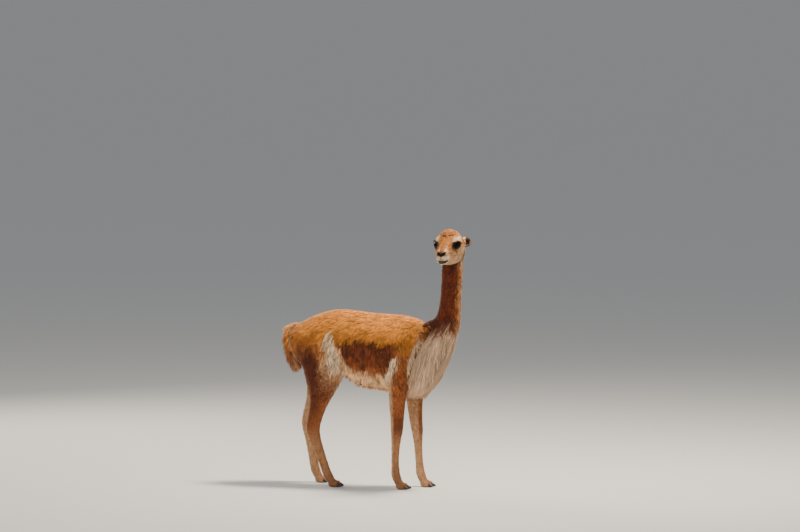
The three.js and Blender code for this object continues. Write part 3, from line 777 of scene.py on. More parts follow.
def trunk_colour(points, colours):
    """Back, flank, belly, thigh and shoulder by place alone, so that nodes leave no seam. The flank's panel
    is partly painted shade, a fold of the coat carries a painted shadow, and the belly's underside a painted
    light.
    """
    x, y, z = points.T
    side = np.abs(y)
    soft = mottle(points, 0.07, 3)
    fine = mottle(points, 0.02, 4)
    streaks = mottle(stretched(points, 0.18), 0.010, 17)
    flank, limb, cream, white = linear_tones(colours, "flank", "limb", "cream", "white")
    result = np.tile(linear(colours.saddle), (len(points), 1))
    result = mix(result, limb, 0.85 * below(0.60, 0.78, z + 0.02 * soft))
    window = flank_window(x, z)
    edge = saddle_edge(x) + 0.006 * fine
    # The flank's panel under the saddle: partly its own darker brown, partly painted shade, darkest just
    # under the overhanging edge and fading downwards as a painted shadow.
    panel = window * below(-0.010, 0.004, z - edge)
    result = mix(result, flank, panel * (0.96 - 0.35 * below(0.56, 0.66, z)))
    behind = below(*THIGH_LINE, x)
    result = mix(result, limb, 0.75 * behind * below(0.66, 0.79, z + 0.02 * soft))
    stripe = behind * bump_at(x + 0.18 * (z - 0.6), THIGH_STRIPE, 0.085) * below(0.60, 0.74, z)
    result = mix(result, flank, np.clip(1.25 * stripe, 0, 1))
    shoulder = ease(*SHOULDER_LINE, x) * below(0.52, 0.76, z)
    result = mix(result, flank, 0.55 * shoulder)
    belly_line = belly_edge(x) + 0.006 * soft + 0.008 * streaks
    belly = ease(*BELLY_LENGTH[:2], x) * below(*BELLY_LENGTH[2:], x) * below(-0.020, 0.012, z - belly_line)
    result = mix(result, cream, belly)
    result = mix(result, cream, 0.9 * below(0.05, 0.085, side) * below(0.50, 0.62, z))
    thigh_front = ease(*THIGH_LINE, x) * below(*THIGH_FRONT, x) * below(0.60, 0.69, z) * (1 - window)
    result = mix(result, cream, 0.75 * thigh_front)
    fold_x = fold_line(z) + 0.004 * soft
    reach = 0.016 + 0.030 * below(0.700, 0.765, z)
    fold = bump_at(x, fold_x, reach + 0.012 * streaks) * below(*FOLD_TOP, z) * ease(*FOLD_FOOT, z)
    result = mix(result, white, np.clip(fold * 1.3 * (0.62 + 0.75 * streaks), 0, 0.90))
    # Painted light: the belly is lightened towards its underside.
    result = result * (1 + 0.15 * belly * below(0.480, 0.520, z))[:, None]
    armpit_x = armpit_line(z) + 0.004 * streaks
    armpit = bump_at(x, armpit_x, 0.026 + 0.010 * streaks) * below(*ARMPIT_TOP, z) * ease(*ARMPIT_FOOT, z)
    result = mix(result, white, np.clip(1.4 * armpit * (0.72 + 0.6 * streaks), 0, 0.95))
    rear = below(-0.378, -0.350, x - 0.10 * (0.7 - z)) * below(0.70, 0.76, z)
    result = mix(result, cream, 0.6 * rear)
    edge = breast_edge(z) + 0.004 * streaks
    breast = ease(-0.006, 0.006, x - edge) * below(*BREAST_TOP, z + 0.25 * (x - edge))
    result = mix(result, linear(colours.breast), breast)
    beyond = x - NECK_ROOT[0] - 0.43 * (z - NECK_ROOT[1])
    base = ease(-0.024, 0.004, beyond + 0.008 * streaks) * ease(0.715, 0.750, z)
    result = mix(result, flank, 0.75 * base)
    wide = mottle(stretched(points, 0.25), 0.030, 21) * below(0.68, 0.74, z)
    # A painted shadow along a fold of the coat.
    crease_shadow = bump_at(z, CREASE_SHADOW_HEIGHT + 0.009 * np.sin(22 * x), 0.013) * ease(-0.03, 0.05, x) * below(0.20, 0.27, x)
    return result * (1 + 0.15 * soft + 0.11 * fine + 0.10 * streaks + 0.22 * wide - 0.25 * crease_shadow)[:, None]


def leg_colour(points, normals, part, colours):
    """Cinnamon in front and outside, paler behind and inside, darker over the joints, with painted rim light
    down the backs.
    """
    ahead, outward = leg_axes.towards(points + ORIGIN, normals)
    z = points[:, 2]
    flank, limb, cream = linear_tones(colours, "flank", "limb", "cream")
    hind = part == HIND
    result = np.tile(limb, (len(points), 1))
    pale = ease(0.25, 0.9, -outward * 0.95 - ahead * 0.35)
    result = mix(result, cream, 0.62 * pale)
    result = mix(result, cream, 0.30 * below(0.20, 0.32, z))
    stripe = np.where(hind, bump_at(ahead, -0.15, 0.95) * ease(-0.1, 0.4, outward) * ease(0.26, 0.40, z), 0)
    result = mix(result, flank, 0.75 * stripe)
    knee = np.where(hind, 0, bump_at(z, KNEE, 0.09) * ease(-0.2, 0.5, ahead + 0.5 * outward))
    result = mix(result, flank, 0.55 * knee)
    # The backs of the legs, paler still: partly their own pale hair, partly painted rim light.
    rim = np.where(hind, 0.70 * ease(0.35, 0.80, -ahead), 0.80 * ease(0.08, 0.50, -ahead))
    result = mix(result, cream, rim)
    result = mix(result, flank, 0.25 * below(0.03, 0.09, z))
    result = mix(result, cream, np.where(hind, 0.65 * ease(0.35, 0.9, ahead) * ease(0.36, 0.50, z), 0))
    tone = 1 + 0.10 * mottle(points, 0.09, 5) + 0.10 * mottle(stretched(points, 0.25), 0.014, 6)
    return result * tone[:, None]


def neck_colour(points, normals, colours):
    """Rich brown sides, a narrow pale line down the throat and a paler nape."""
    x, y, z = points.T
    ahead = normals[:, 0]
    neck, face, cream, bare = linear_tones(colours, "neck", "face", "cream", "bare")
    breast, flank = linear_tones(colours, "breast", "flank")
    result = np.tile(neck, (len(points), 1))
    streaks = mottle(stretched(points, 0.35), 0.018, 7)
    throat = ease(0.72, 1.0, ahead + 0.10 * streaks + 0.25 * ease(*THROAT_TOP, z))
    result = mix(result, face, 0.45 * ease(0.50, 0.95, ahead + 0.1 * streaks))
    result = mix(result, cream, 0.25 * throat * (1 + ease(*THROAT_TOP, z)))
    result = mix(result, face, 0.35 * ease(0.55, 0.95, -ahead))
    parting = bump_at(x, NECK_PARTING[0], 0.008) * bump_at(z, NECK_PARTING[1], 0.030) * (y < 0)
    result = mix(result, bare, 0.6 * parting)
    low = below(0.750, 0.785, z + 0.014 * streaks)
    result = mix(result, breast, low)
    base = below(0.80, 0.88, z) * below(0.38, 0.45, x) * ease(0.755, 0.785, z)
    result = mix(result, flank, 0.7 * base)
    tone = 1 + 0.12 * mottle(points, 0.07, 8) + 0.10 * mottle(points, 0.016, 9) + 0.20 * streaks
    return result * tone[:, None]


def eye_distance(f, side, u):
    """How far a place of the head lies from the middle of the nearer eye's opening, in half openings."""
    rear = (side - EYE_AT[1]) * 0.5 - (f - EYE_AT[0]) * 0.866
    high = (u - EYE_AT[2] - 0.16 * rear) / EYE_HALF_TALL
    long = EYE_HALF_LONG * (1 + 0.22 * np.clip(high, -1, 1))
    return np.hypot(rear / long, high)


def mouth_height(f, u):
    """How far a place of the muzzle lies above the line of the mouth, which rises to its corners."""
    return u - (MOUTH_HEIGHT + MOUTH_RISE * (MOUTH_FRONT - f))


def nose_wing(side, u):
    """How far a place of the muzzle lies from the line of the bare nose, which rises to both sides."""
    return np.abs(u - NOSE_FOOT - NOSE_RISE * side)


def lip_share(f, l, u):
    """1 on the dark lower lip, which thickens towards the front and shows most on one side."""
    thick = 0.0040 + 0.0050 * ease(0.104, 0.125, f)
    lip = below(0.75, 1.15, np.abs(mouth_height(f, u) / thick + 0.85))
    return lip * ease(0.098, 0.114, f) * (0.30 + 0.70 * ease(-0.018, -0.008, l))


def soft_spot(side, u, middle, reach):
    """A soft spot on both sides of the head. Its middle and its reach are (across, up)."""
    return bump_at(side, middle[0], reach[0]) * bump_at(u, middle[1], reach[1])


def head_colour(points, colours):
    """Tan crown and bridge, pale cheeks and brows, brown tear streaks that also paint the shade under the
    eyes, black nose and dark lip, with painted shade in the line of the mouth and in small dents of the
    forehead.
    """
    f, l, u = to_head(points).T
    side = np.abs(l)
    bare, cream, white, face, flank = linear_tones(colours, "bare", "cream", "white", "face", "flank")
    limb, neck = linear_tones(colours, "limb", "neck")
    result = np.tile(face, (len(points), 1))
    result = mix(result, limb, 0.30 * ease(0.040, 0.080, u))
    blur = 0.006 * mottle(points, 0.016, 19)
    high = u + blur - 0.6 * np.maximum(side - 0.045, 0)
    cheek = ease(0.020, 0.038, side + blur) * below(*CHEEK_TOP, high) * ease(-0.05, -0.01, f - 0.3 * u)
    result = mix(result, cream * 1.08, 0.85 * cheek)
    result = mix(result, cream, 0.75 * below(-0.072, -0.050, u + blur))
    bridge = bump_at(l, 0.0, 0.016) * ease(0.04, 0.08, f) * below(-0.005, 0.03, u)
    result = mix(result, neck, 0.45 * bridge)
    brow = soft_spot(side, u, BROW, (0.028, 0.021)) * ease(-0.02, 0.02, f)
    result = mix(result, white, 0.6 * brow)
    stripe = soft_spot(side, u, BRIDGE_STRIPE, (0.007, 0.030)) * ease(0.035, 0.06, f)
    result = mix(result, cream, 0.5 * stripe)
    beside_nose = soft_spot(side, u, BESIDE_NOSE, (0.010, 0.020)) * ease(0.055, 0.085, f)
    result = mix(result, white, 0.85 * beside_nose)
    tear_streak_and_shade = soft_spot(side + 0.55 * u, u, TEAR_STREAK_AND_SHADE, (0.012, 0.034)) * ease(0.02, 0.05, f)
    result = mix(result, flank, 0.9 * tear_streak_and_shade)
    muzzle = ease(*MUZZLE, f)
    result = mix(result, white, 0.75 * muzzle * below(-0.046, -0.034, u))
    nose = below(0.0075, 0.0105, nose_wing(side, u)) * below(0.0205, 0.0245, side) * ease(0.106, 0.118, f)
    result = mix(result, bare, np.clip(nose, 0, 1))
    cleft = below(0.0015, 0.004, side) * ease(0.116, 0.126, f) * bump_at(u, -0.050, 0.014)
    result = mix(result, bare, 0.7 * cleft)
    result = mix(result, bare, 0.95 * lip_share(f, l, u))
    grey = soft_spot(side, u, UPPER_LIP, (0.014, 0.008)) * ease(0.118, 0.132, f)
    result = mix(result, bare, 0.40 * grey)
    chin = bump_at(side, 0.0, 0.03) * below(-0.085, -0.074, u) * ease(0.08, 0.11, f)
    result = mix(result, face, 0.45 * chin)
    # The dark line of the mouth: painted shade of the closed slit, on the dark skin of the lips.
    line = bump_at(mouth_height(f, u), 0.0, 0.0030) * ease(0.092, 0.112, f)
    result = mix(result, bare, 0.85 * line)
    for spot, high in FOREHEAD_DENT_SHADOWS:
        dent_shadow = below(0.7, 1.1, np.hypot((l - spot) / 0.016, (u - high) / 0.0042)) * ease(0.0, 0.02, f)
        result = mix(result, flank, dent_shadow)
    for place, high, reach in CHEEK_FLECKS:
        fleck = soft_spot(side, u + 0.3 * blur, (place, high), (reach, 0.45 * reach)) * ease(0.04, 0.07, f)
        result = mix(result, limb, 0.75 * fleck)
    ring = eye_distance(f, side, u)
    result = mix(result, bare, 0.97 * below(1.10, 1.42, ring))
    tone = 1 + 0.15 * mottle(points, 0.022, 10) + 0.15 * mottle(points, 0.008, 12)
    return result * tone[:, None]


def breast_colour(points, colours):
    """Greyish white, with brown creeping in at the base of the neck."""
    x, _, z = points.T
    streaks = mottle(stretched(points, 0.3), 0.02, 13)
    result = np.tile(linear(colours.breast), (len(points), 1))
    brown = ease(0.745, 0.780, z - 0.10 * (0.43 - x) + 0.014 * streaks)
    result = mix(result, linear(colours.neck), 0.95 * brown)
    return result * (1 + 0.10 * streaks)[:, None]


def tail_colour(points, colours):
    """Golden above, brown below, with a paler edge towards the rump."""
    x, _, z = points.T
    result = np.tile(linear(colours.limb), (len(points), 1))
    result = mix(result, linear(colours.saddle), 0.9 * ease(0.66, 0.76, z))
    result = mix(result, linear(colours.cream), 0.35 * ease(-0.012, 0.014, x - TAIL_REAR))
    return result * (1 + 0.30 * mottle(points, 0.03, 14))[:, None]


def markings(points, normals, parts):
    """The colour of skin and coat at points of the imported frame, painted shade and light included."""
    colours = settings()[0]
    place = to_body(points)
    result = trunk_colour(place, colours)
    legs = ((parts == HIND) | (parts == FORE)) & (place[:, 2] < 0.66)
    if legs.any():
        own = leg_colour(place[legs], normals[legs], parts[legs], colours)
        low = np.where(parts[legs] == HIND, 0.46, 0.44)
        high = np.where(parts[legs] == HIND, 0.62, 0.54)
        blend = 1 - np.clip((place[legs, 2] - low) / (high - low), 0, 1)
        result[legs] = mix(result[legs], own, blend)
    for part, colour in (
        (NECK, lambda p, n: neck_colour(p, n, colours)),
        (HEAD, lambda p, n: mix(neck_colour(p, n, colours), head_colour(p, colours), head_share(p))),
        (BREAST, lambda p, n: breast_colour(p, colours)),
        (TAIL, lambda p, n: tail_colour(p, colours)),
    ):
        own = parts == part
        if own.any():
            result[own] = colour(place[own], normals[own])
    return np.clip(result, 0.001, 0.95)


def head_share(points):
    """0 on the back of the head, where the neck's colour runs up, and 1 over the rest."""
    f, _, u = to_head(points).T
    return ease(-0.085, -0.035, f + 0.55 * np.maximum(u, -0.03) - 0.35 * np.minimum(u + 0.06, 0))


def lie_of_coat(points, normals, parts):
    """The direction that the hair runs in, along the skin."""
    place = to_body(points)
    x, y, z = place.T
    lie = np.tile(np.array([-0.9, 0.0, -0.45]), (len(points), 1))
    lie[:, 1] += 0.35 * np.sign(y) * below(0.0, 0.05, np.abs(y))
    under = below(-0.02, 0.05, z - saddle_edge(x))
    hang = np.maximum(under, ease(0.12, 0.24, x) * below(0.70, 0.84, z))
    hang = np.maximum(hang, below(-0.24, -0.12, x) * below(0.66, 0.82, z))
    hang = np.maximum(hang, bump_at(x, fold_line(z), 0.05) * below(0.755, 0.785, z))
    lie = mix(lie, np.array([-0.12, 0.0, -1.0]), hang)
    lie[:, 0] += 1.3 * hang * np.clip(x - 0.05, -0.2, 0.2) * (parts == TRUNK)
    for part, backwards in ((HIND, -0.05), (FORE, -0.12), (NECK, -0.06), (TAIL, 0.0)):
        lie[parts == part] = (backwards, 0, -1)
    lie[(parts == HIND) & (z > 0.5)] = np.array([0.05, 0.0, -1.0])
    level = (parts == NECK) * (z < 0.95) * ease(0.35, 0.8, normals[:, 2])
    lie = mix(lie, np.array([-0.8, 0.0, -0.6]), level)
    head = parts == HEAD
    if head.any():
        f, l, u = to_head(place[head]).T
        back = np.stack([-np.ones(len(f)), 0.25 * np.sign(l), np.where(u > 0.02, 0.35, -0.35)], axis=-1)
        nape = np.tile(np.array([0.0, 0.0, -1.0]), (len(f), 1)) @ HEAD_AXES.T
        lie[head] = mix(back, nape, below(-0.05, 0.0, f)) @ HEAD_AXES
    lie -= normals * np.sum(lie * normals, axis=1, keepdims=True)
    return unit(lie)


def coat_depth(points, parts):
    """How far the skin lies under the tips of the coat."""
    place = to_body(points)
    x, y, z = place.T
    under = flank_window(x, z) * below(-0.014, 0.004, z - saddle_edge(x)) * ease(0.50, 0.60, z)
    depth = 0.0065 + LEDGE_DEPTH * under * (np.abs(y) > 0.05)
    depth[parts == NECK] = 0.0045
    depth[(parts == TAIL) | (parts == BREAST)] = 0.0
    legs = (parts == HIND) | (parts == FORE)
    depth[legs] = 0.0014 + 0.0045 * ease(0.36, 0.60, z[legs])
    depth[legs & (z < 0.075)] = 0.0006
    head = parts == HEAD
    if head.any():
        f, _, u = to_head(place[head]).T
        crown = 0.0035 * ease(0.01, 0.06, u) + 0.0020 * below(0.0, 0.06, f)
        depth[head] = 0.0010 + np.minimum(crown, 0.0035)
    return depth


# Blades of hair


def blades(name, slot, paths, outs, widths, colours, material, painted_end_shades, nodes=(), ridge=0.5, soft=0.35):
    """Joined tufts as one mesh. Each tuft follows its path as a thin, ridged blade that ends in a point.

    paths is (tufts, points, 3), outs the side that faces away from the skin, widths the full width at the
    root, colours one colour for each tuft, and painted_end_shades the painted shade of its root and the
    painted highlight of its tip. nodes are the solids that the piece stands for."""
    count, steps = paths.shape[:2]
    root_painted_shade, tip_painted_highlight = painted_end_shades
    along = unit(np.gradient(paths, axis=1))
    right = unit(np.cross(along, outs[:, None, :]))
    up = np.cross(right, along)
    shares = np.linspace(0, 1, steps)
    swell = (np.sin(np.pi * (0.30 + 0.62 * shares)) ** 0.8)[:-1]
    half = widths[:, None] * 0.5 * swell[None, :]
    rings = np.stack(
        [
            paths[:, :-1] - right[:, :-1] * half[..., None],
            paths[:, :-1] + up[:, :-1] * (half * ridge)[..., None],
            paths[:, :-1] + right[:, :-1] * half[..., None],
        ],
        axis=2,
    )
    verts = np.concatenate([rings.reshape(count, -1, 3), paths[:, -1:]], axis=1)
    mesh = blade_mesh(name, verts, steps)
    # Painted shading along each tuft: dark at the root as painted shade deep in the coat, light at the tip as
    # a painted highlight.
    painted_shading = root_painted_shade + (tip_painted_highlight - root_painted_shade) * np.concatenate([np.repeat(shares[:-1], 3), [1.0]]) ** 0.7
    tones = colours[:, None, :] * painted_shading[None, :, None]
    tones /= np.maximum(1, tones.max(axis=-1, keepdims=True) / TUFT_BRIGHTEST)
    paint(mesh, tones.reshape(-1, 3))
    facing = np.stack([up * 0.7 - right * 0.7, up, up * 0.7 + right * 0.7], axis=2)
    facing = np.concatenate([facing[:, :-1].reshape(count, -1, 3), up[:, -1:]], axis=1)
    normals = unit(facing * (1 - soft) + outs[:, None, :] * soft)
    mesh.normals_split_custom_set_from_vertices(normals.reshape(-1, 3))
    bake_places(mesh, paths[:, 0], verts)
    on_root(add_object(name, mesh, material), slot, *nodes)


def blade_mesh(name, verts, steps):
    """The mesh of all blades: two strips of quads on each, and two triangles at its tip."""
    count, per = verts.shape[:2]
    quads = []
    for k in range(steps - 2):
        low, high = 3 * k, 3 * k + 3
        quads += [[low, low + 1, high + 1, high], [low + 1, low + 2, high + 2, high + 1]]
    last, tip = 3 * (steps - 2), per - 1
    tris = [[last, last + 1, tip], [last + 1, last + 2, tip]]
    offsets = (np.arange(count) * per)[:, None, None]
    quad_loops = (np.array(quads)[None] + offsets).reshape(-1)
    tri_loops = (np.array(tris)[None] + offsets).reshape(-1)
    loops = np.concatenate([quad_loops, tri_loops])
    sizes = np.concatenate([np.full(len(quad_loops) // 4, 4), np.full(len(tri_loops) // 3, 3)])
    mesh = bpy.data.meshes.new(name)
    mesh.vertices.add(count * per)
    mesh.vertices.foreach_set("co", verts.reshape(-1))
    mesh.loops.add(len(loops))
    mesh.loops.foreach_set("vertex_index", loops)
    mesh.polygons.add(len(sizes))
    mesh.polygons.foreach_set("loop_start", np.concatenate([[0], np.cumsum(sizes)[:-1]]))
    mesh.update(calc_edges=True)
    mesh.validate()
    return mesh


def unwrap(points):
    """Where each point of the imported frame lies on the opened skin, which has an island for each part."""
    parts = part_guess(points)
    place = to_body(points)
    x, y, z = place.T
    u, v = np.zeros(len(points)), np.zeros(len(points))
    head = to_head(place)
    islands = {
        TRUNK: (np.arctan2(y, z - 0.67), (x + 0.45) / 0.95, (0.0, 0.0, 0.5, 0.5)),
        BREAST: (np.arctan2(y, x - 0.33), (z - 0.40) / 0.46, (0.5, 0.0, 0.25, 0.5)),
        NECK: (np.arctan2(y, -(x - 0.45)), (z - 0.76) / 0.42, (0.75, 0.0, 0.25, 0.5)),
        HEAD: (np.arctan2(head[:, 1], head[:, 2] + 0.01), (head[:, 0] + 0.15) / 0.3, (0.0, 0.5, 0.4, 0.25)),
        TAIL: (np.arctan2(y, -(x + 0.39)), (z - 0.50) / 0.32, (0.4, 0.5, 0.1, 0.25)),
        HIND: (np.arctan2(np.abs(y) - 0.08, x + 0.2 + 0.2 * (y > 0)), z / 0.8, (0.5, 0.5, 0.25, 0.5)),
        FORE: (np.arctan2(np.abs(y) - 0.075, x - 0.2 - 0.04 * (y > 0)), z / 0.8, (0.75, 0.5, 0.25, 0.5)),
    }
    for part, (angle, along, (left, low, wide, tall)) in islands.items():
        own = parts == part
        round_share = np.clip(angle / (2 * math.pi) + 0.5, 0, 1)
        if part in (HIND, FORE):
            round_share = 0.5 * round_share + 0.5 * (y > 0)
        u[own] = left + wide * (0.02 + 0.96 * round_share[own])
        v[own] = low + tall * (0.02 + 0.96 * np.clip(along[own], 0, 1))
    return np.stack([u, v], axis=-1)


def part_guess(points):
    """The part of a root by place alone."""
    x, y, z = to_body(points).T
    parts = np.full(len(points), TRUNK)
    parts[(x < 0.06) & (z < 0.56)] = HIND
    parts[(x >= 0.06) & (z < 0.50)] = FORE
    parts[(x > 0.235 + 0.29 * (z - 0.454)) & (z > 0.44)] = BREAST
    parts[(x > 0.33) & (z > 0.80)] = NECK
    parts[z > 1.10] = HEAD
    parts[(x < -0.36) & (np.abs(y) < 0.035)] = TAIL
    return parts


def bake_places(mesh, roots, verts):
    """Gives each tuft a small patch at its root's place on the opened skin."""
    layer = mesh.uv_layers.new(name="OFBake")
    home = unwrap(roots)
    local = verts - verts[:, :1]
    size = np.maximum(np.abs(local).max(axis=(1, 2)), 1e-6)[:, None]
    spread = np.stack([local[..., 0] + local[..., 1], local[..., 2]], axis=-1) / size[..., None]
    places = home[:, None, :] + spread * TUFT_PATCH * 0.35
    flat = np.empty(len(mesh.loops), dtype=np.int32)
    mesh.loops.foreach_get("vertex_index", flat)
    layer.uv.foreach_set("vector", places.reshape(-1, 2)[flat].ravel())


class Skin:
    """A finished surface as arrays, to root hair on."""

    def __init__(self, mesh):
        self.points = points_of(mesh)
        self.normals = normals_of(mesh)
        mesh.calc_loop_triangles()
        corners = np.empty(len(mesh.loop_triangles) * 3, dtype=np.int32)
        mesh.loop_triangles.foreach_get("vertices", corners)
        self.corners = corners.reshape(-1, 3)
        a, b, c = (self.points[self.corners[:, k]] for k in range(3))
        self.areas = np.linalg.norm(np.cross(b - a, c - a), axis=1) / 2
        self.centres = (a + b + c) / 3
        layer = np.empty(len(mesh.vertices), dtype=np.int32)
        mesh.attributes["part"].data.foreach_get("value", layer)
        self.parts = layer
        self.triangle_parts = layer[self.corners[:, 0]]
        self.outer = np.ones(len(self.corners))

    def own(self, *parts):
        """1 on the outer triangles of these parts, 0 on all others."""
        return self.outer * np.isin(self.triangle_parts, parts)

    def steepness(self):
        """How far each triangle is from upright: 0 on a wall, 1 where it lies level."""
        return np.abs(self.normals[self.corners, 2]).max(axis=1)

    def scatter(self, weights, count, draw):
        """Random roots on the triangles, as many on each as its area times its weight allows."""
        share = self.areas * weights
        picks = np.searchsorted(np.cumsum(share) / share.sum(), draw.random(count))
        picks = np.minimum(picks, len(share) - 1)
        r1, r2 = np.sqrt(draw.random(count)), draw.random(count)
        w = np.stack([1 - r1, r1 * (1 - r2), r1 * r2], axis=-1)
        corners = self.corners[picks]
        points = np.einsum("nk,nkd->nd", w, self.points[corners])
        normals = unit(np.einsum("nk,nkd->nd", w, self.normals[corners]))
        return points, normals, self.parts[corners[:, 0]]


skin = {}


def gather(points, every):
    """For each root the lock that it belongs to, and the way to that lock's middle."""
    middles = points[::every]
    tree = KDTree(len(middles))
    for k, middle in enumerate(middles):
        tree.insert(middle, k)
    tree.balance()
    owners = np.array([tree.find(point)[1] for point in points])
    ways = middles[owners] - points
    reach = np.linalg.norm(ways, axis=1, keepdims=True)
    return owners, ways * np.minimum(1, LOCK_REACH / np.maximum(reach, 1e-9))


def value_of(given, points):
    """A look that is one number, or a function of the roots, as an array."""
    return given(points) if callable(given) else np.full(len(points), float(given))


def hair(name, weights, material, lie=None, paint=None, keep=None, surface=None, **look):
    """Tufts over part of the skin, gathered into locks, as TUFTS says. Of what look adds, length, width and
    lift may be functions of the roots. lie, paint and keep are functions too: the way that the hair runs,
    its colours, and which roots stay."""
    style = {**USUAL_TUFTS, **TUFTS[name], **look}
    coat = settings()[1]
    draw = np.random.default_rng(style["seed"] + coat.seed)
    count = int(style["count"] * coat.tuft_share)
    points, normals, parts = (surface or skin["surface"]).scatter(weights, count, draw)
    if keep is not None:
        good = keep(points)
        points, normals, parts = points[good], normals[good], parts[good]
    number = len(points)
    owners, drift = gather(points, style["every"])
    locks = owners.max() + 1
    way = lie(points, normals) if lie else lie_of_coat(points, normals, parts)
    across = np.cross(normals, way)
    turn = draw.normal(0, 0.6 * style["stray"], number) + draw.normal(0, style["stray"], locks)[owners]
    way = way * np.cos(turn)[:, None] + across * np.sin(turn)[:, None]
    lengths, lifts, widths = (value_of(style[key], points) for key in ("length", "lift", "width"))
    lengths = lengths * draw.uniform(0.72, 1.15, number) * draw.uniform(0.8, 1.2, locks)[owners]
    lifts = lifts * draw.uniform(0.7, 1.3, number) * draw.uniform(0.55, 1.5, locks)[owners]
    widths = widths * draw.uniform(0.7, 1.3, number)
    shares = np.linspace(0, 1, style["steps"])
    rise = lifts[:, None] * (shares - style["droop"] * shares**2)[None, :]
    wave = shares[None, :] * 7.0 + draw.uniform(0, 6.3, locks)[owners][:, None]
    sway = style["curl"] * np.sin(wave) * shares[None, :]
    sunk = np.minimum(0.0012, 0.06 * lengths)[:, None]
    paths = (
        points[:, None, :]
        + way[:, None, :] * (lengths[:, None] * shares[None, :])[..., None]
        + across[:, None, :] * (lengths[:, None] * sway)[..., None]
        + normals[:, None, :] * (lengths[:, None] * rise - sunk)[..., None]
        + drift[:, None, :] * (style["pull"] * shares[None, :] ** 1.3)[..., None]
    )
    if paint:
        colours = paint(points, normals)
    else:
        blend = style["blend"]
        strays = draw.normal(0, blend, (locks, 3))[owners] + draw.normal(0, 0.3 * blend, (number, 3))
        colours = markings(points + way * lengths[:, None] * 0.4 + strays, normals, parts)
    tones = draw.normal(1.0, 0.12, number) * draw.normal(1.0, style["contrast"], locks)[owners]
    colours *= np.clip(tones, 0.45, 1.6)[:, None]
    blades(name, "coat", paths, normals, widths, colours, material, (style["root"], style["tip"]))


# Operators


class VICUNA_OT_stage(bpy.types.Operator):
    """Sets the floor, the lights and the camera at the photograph's angle."""

    bl_idname = "vicuna.stage"
    bl_label = "Stage"

    def execute(self, context):
        colours, _, stage = settings()
        shape = bmesh.new()
        bmesh.ops.create_grid(shape, x_segments=2, y_segments=2, size=stage.floor_size / 2)
        mesh = bpy.data.meshes.new("floor")
        shape.to_mesh(mesh)
        shape.free()
        material, _, shader = new_material("Pale floor")
        shader.inputs["Base Color"].default_value = (*linear(colours.floor), 1)
        shader.inputs["Roughness"].default_value = 0.9
        add_object("floor", mesh, material)
        self.lights()
        self.camera(stage)
        return {"FINISHED"}

    def lights(self):
        """A high key from behind on the right, a weak front fill and a pale surround."""
        for name, (place, size, power, colour) in LIGHTS.items():
            light = bpy.data.lights.new(name, "AREA")
            light.size = size
            light.energy = power
            light.color = colour
            lamp = bpy.data.objects.new(name, light)
            lamp.location = place
            lamp.rotation_euler = (Vector(LIT_POINT) - Vector(place)).to_track_quat("-Z", "Y").to_euler()
            bpy.context.scene.collection.objects.link(lamp)
        world = bpy.context.scene.world or bpy.data.worlds.new("World")
        bpy.context.scene.world = world
        world.use_nodes = True
        backdrop = world.node_tree.nodes["Background"]
        backdrop.inputs["Color"].default_value = (*linear(SURROUND), 1)
        backdrop.inputs["Strength"].default_value = SURROUND_POWER

    def camera(self, stage):
        """Looks at the animal from far off, so that it is seen almost without perspective."""
        turn, rise = math.radians(stage.azimuth), math.radians(stage.elevation)
        towards = Vector((math.sin(turn) * math.cos(rise), -math.cos(turn) * math.cos(rise), math.sin(rise)))
        beside = Vector((math.cos(turn), math.sin(turn), 0))
        aim = Vector(ORIGIN) + beside * stage.aim_right + Vector((0, 0, stage.aim_height))
        data = bpy.data.cameras.new("camera")
        data.sensor_width = 36.0
        data.lens = data.sensor_width * stage.distance / stage.frame_width
        data.clip_end = stage.floor_size
        eye = bpy.data.objects.new("camera", data)
        eye.location = aim + towards * stage.distance
        eye.rotation_euler = (-towards).to_track_quat("-Z", "Y").to_euler()
        bpy.context.scene.collection.objects.link(eye)
        bpy.context.scene.camera = eye


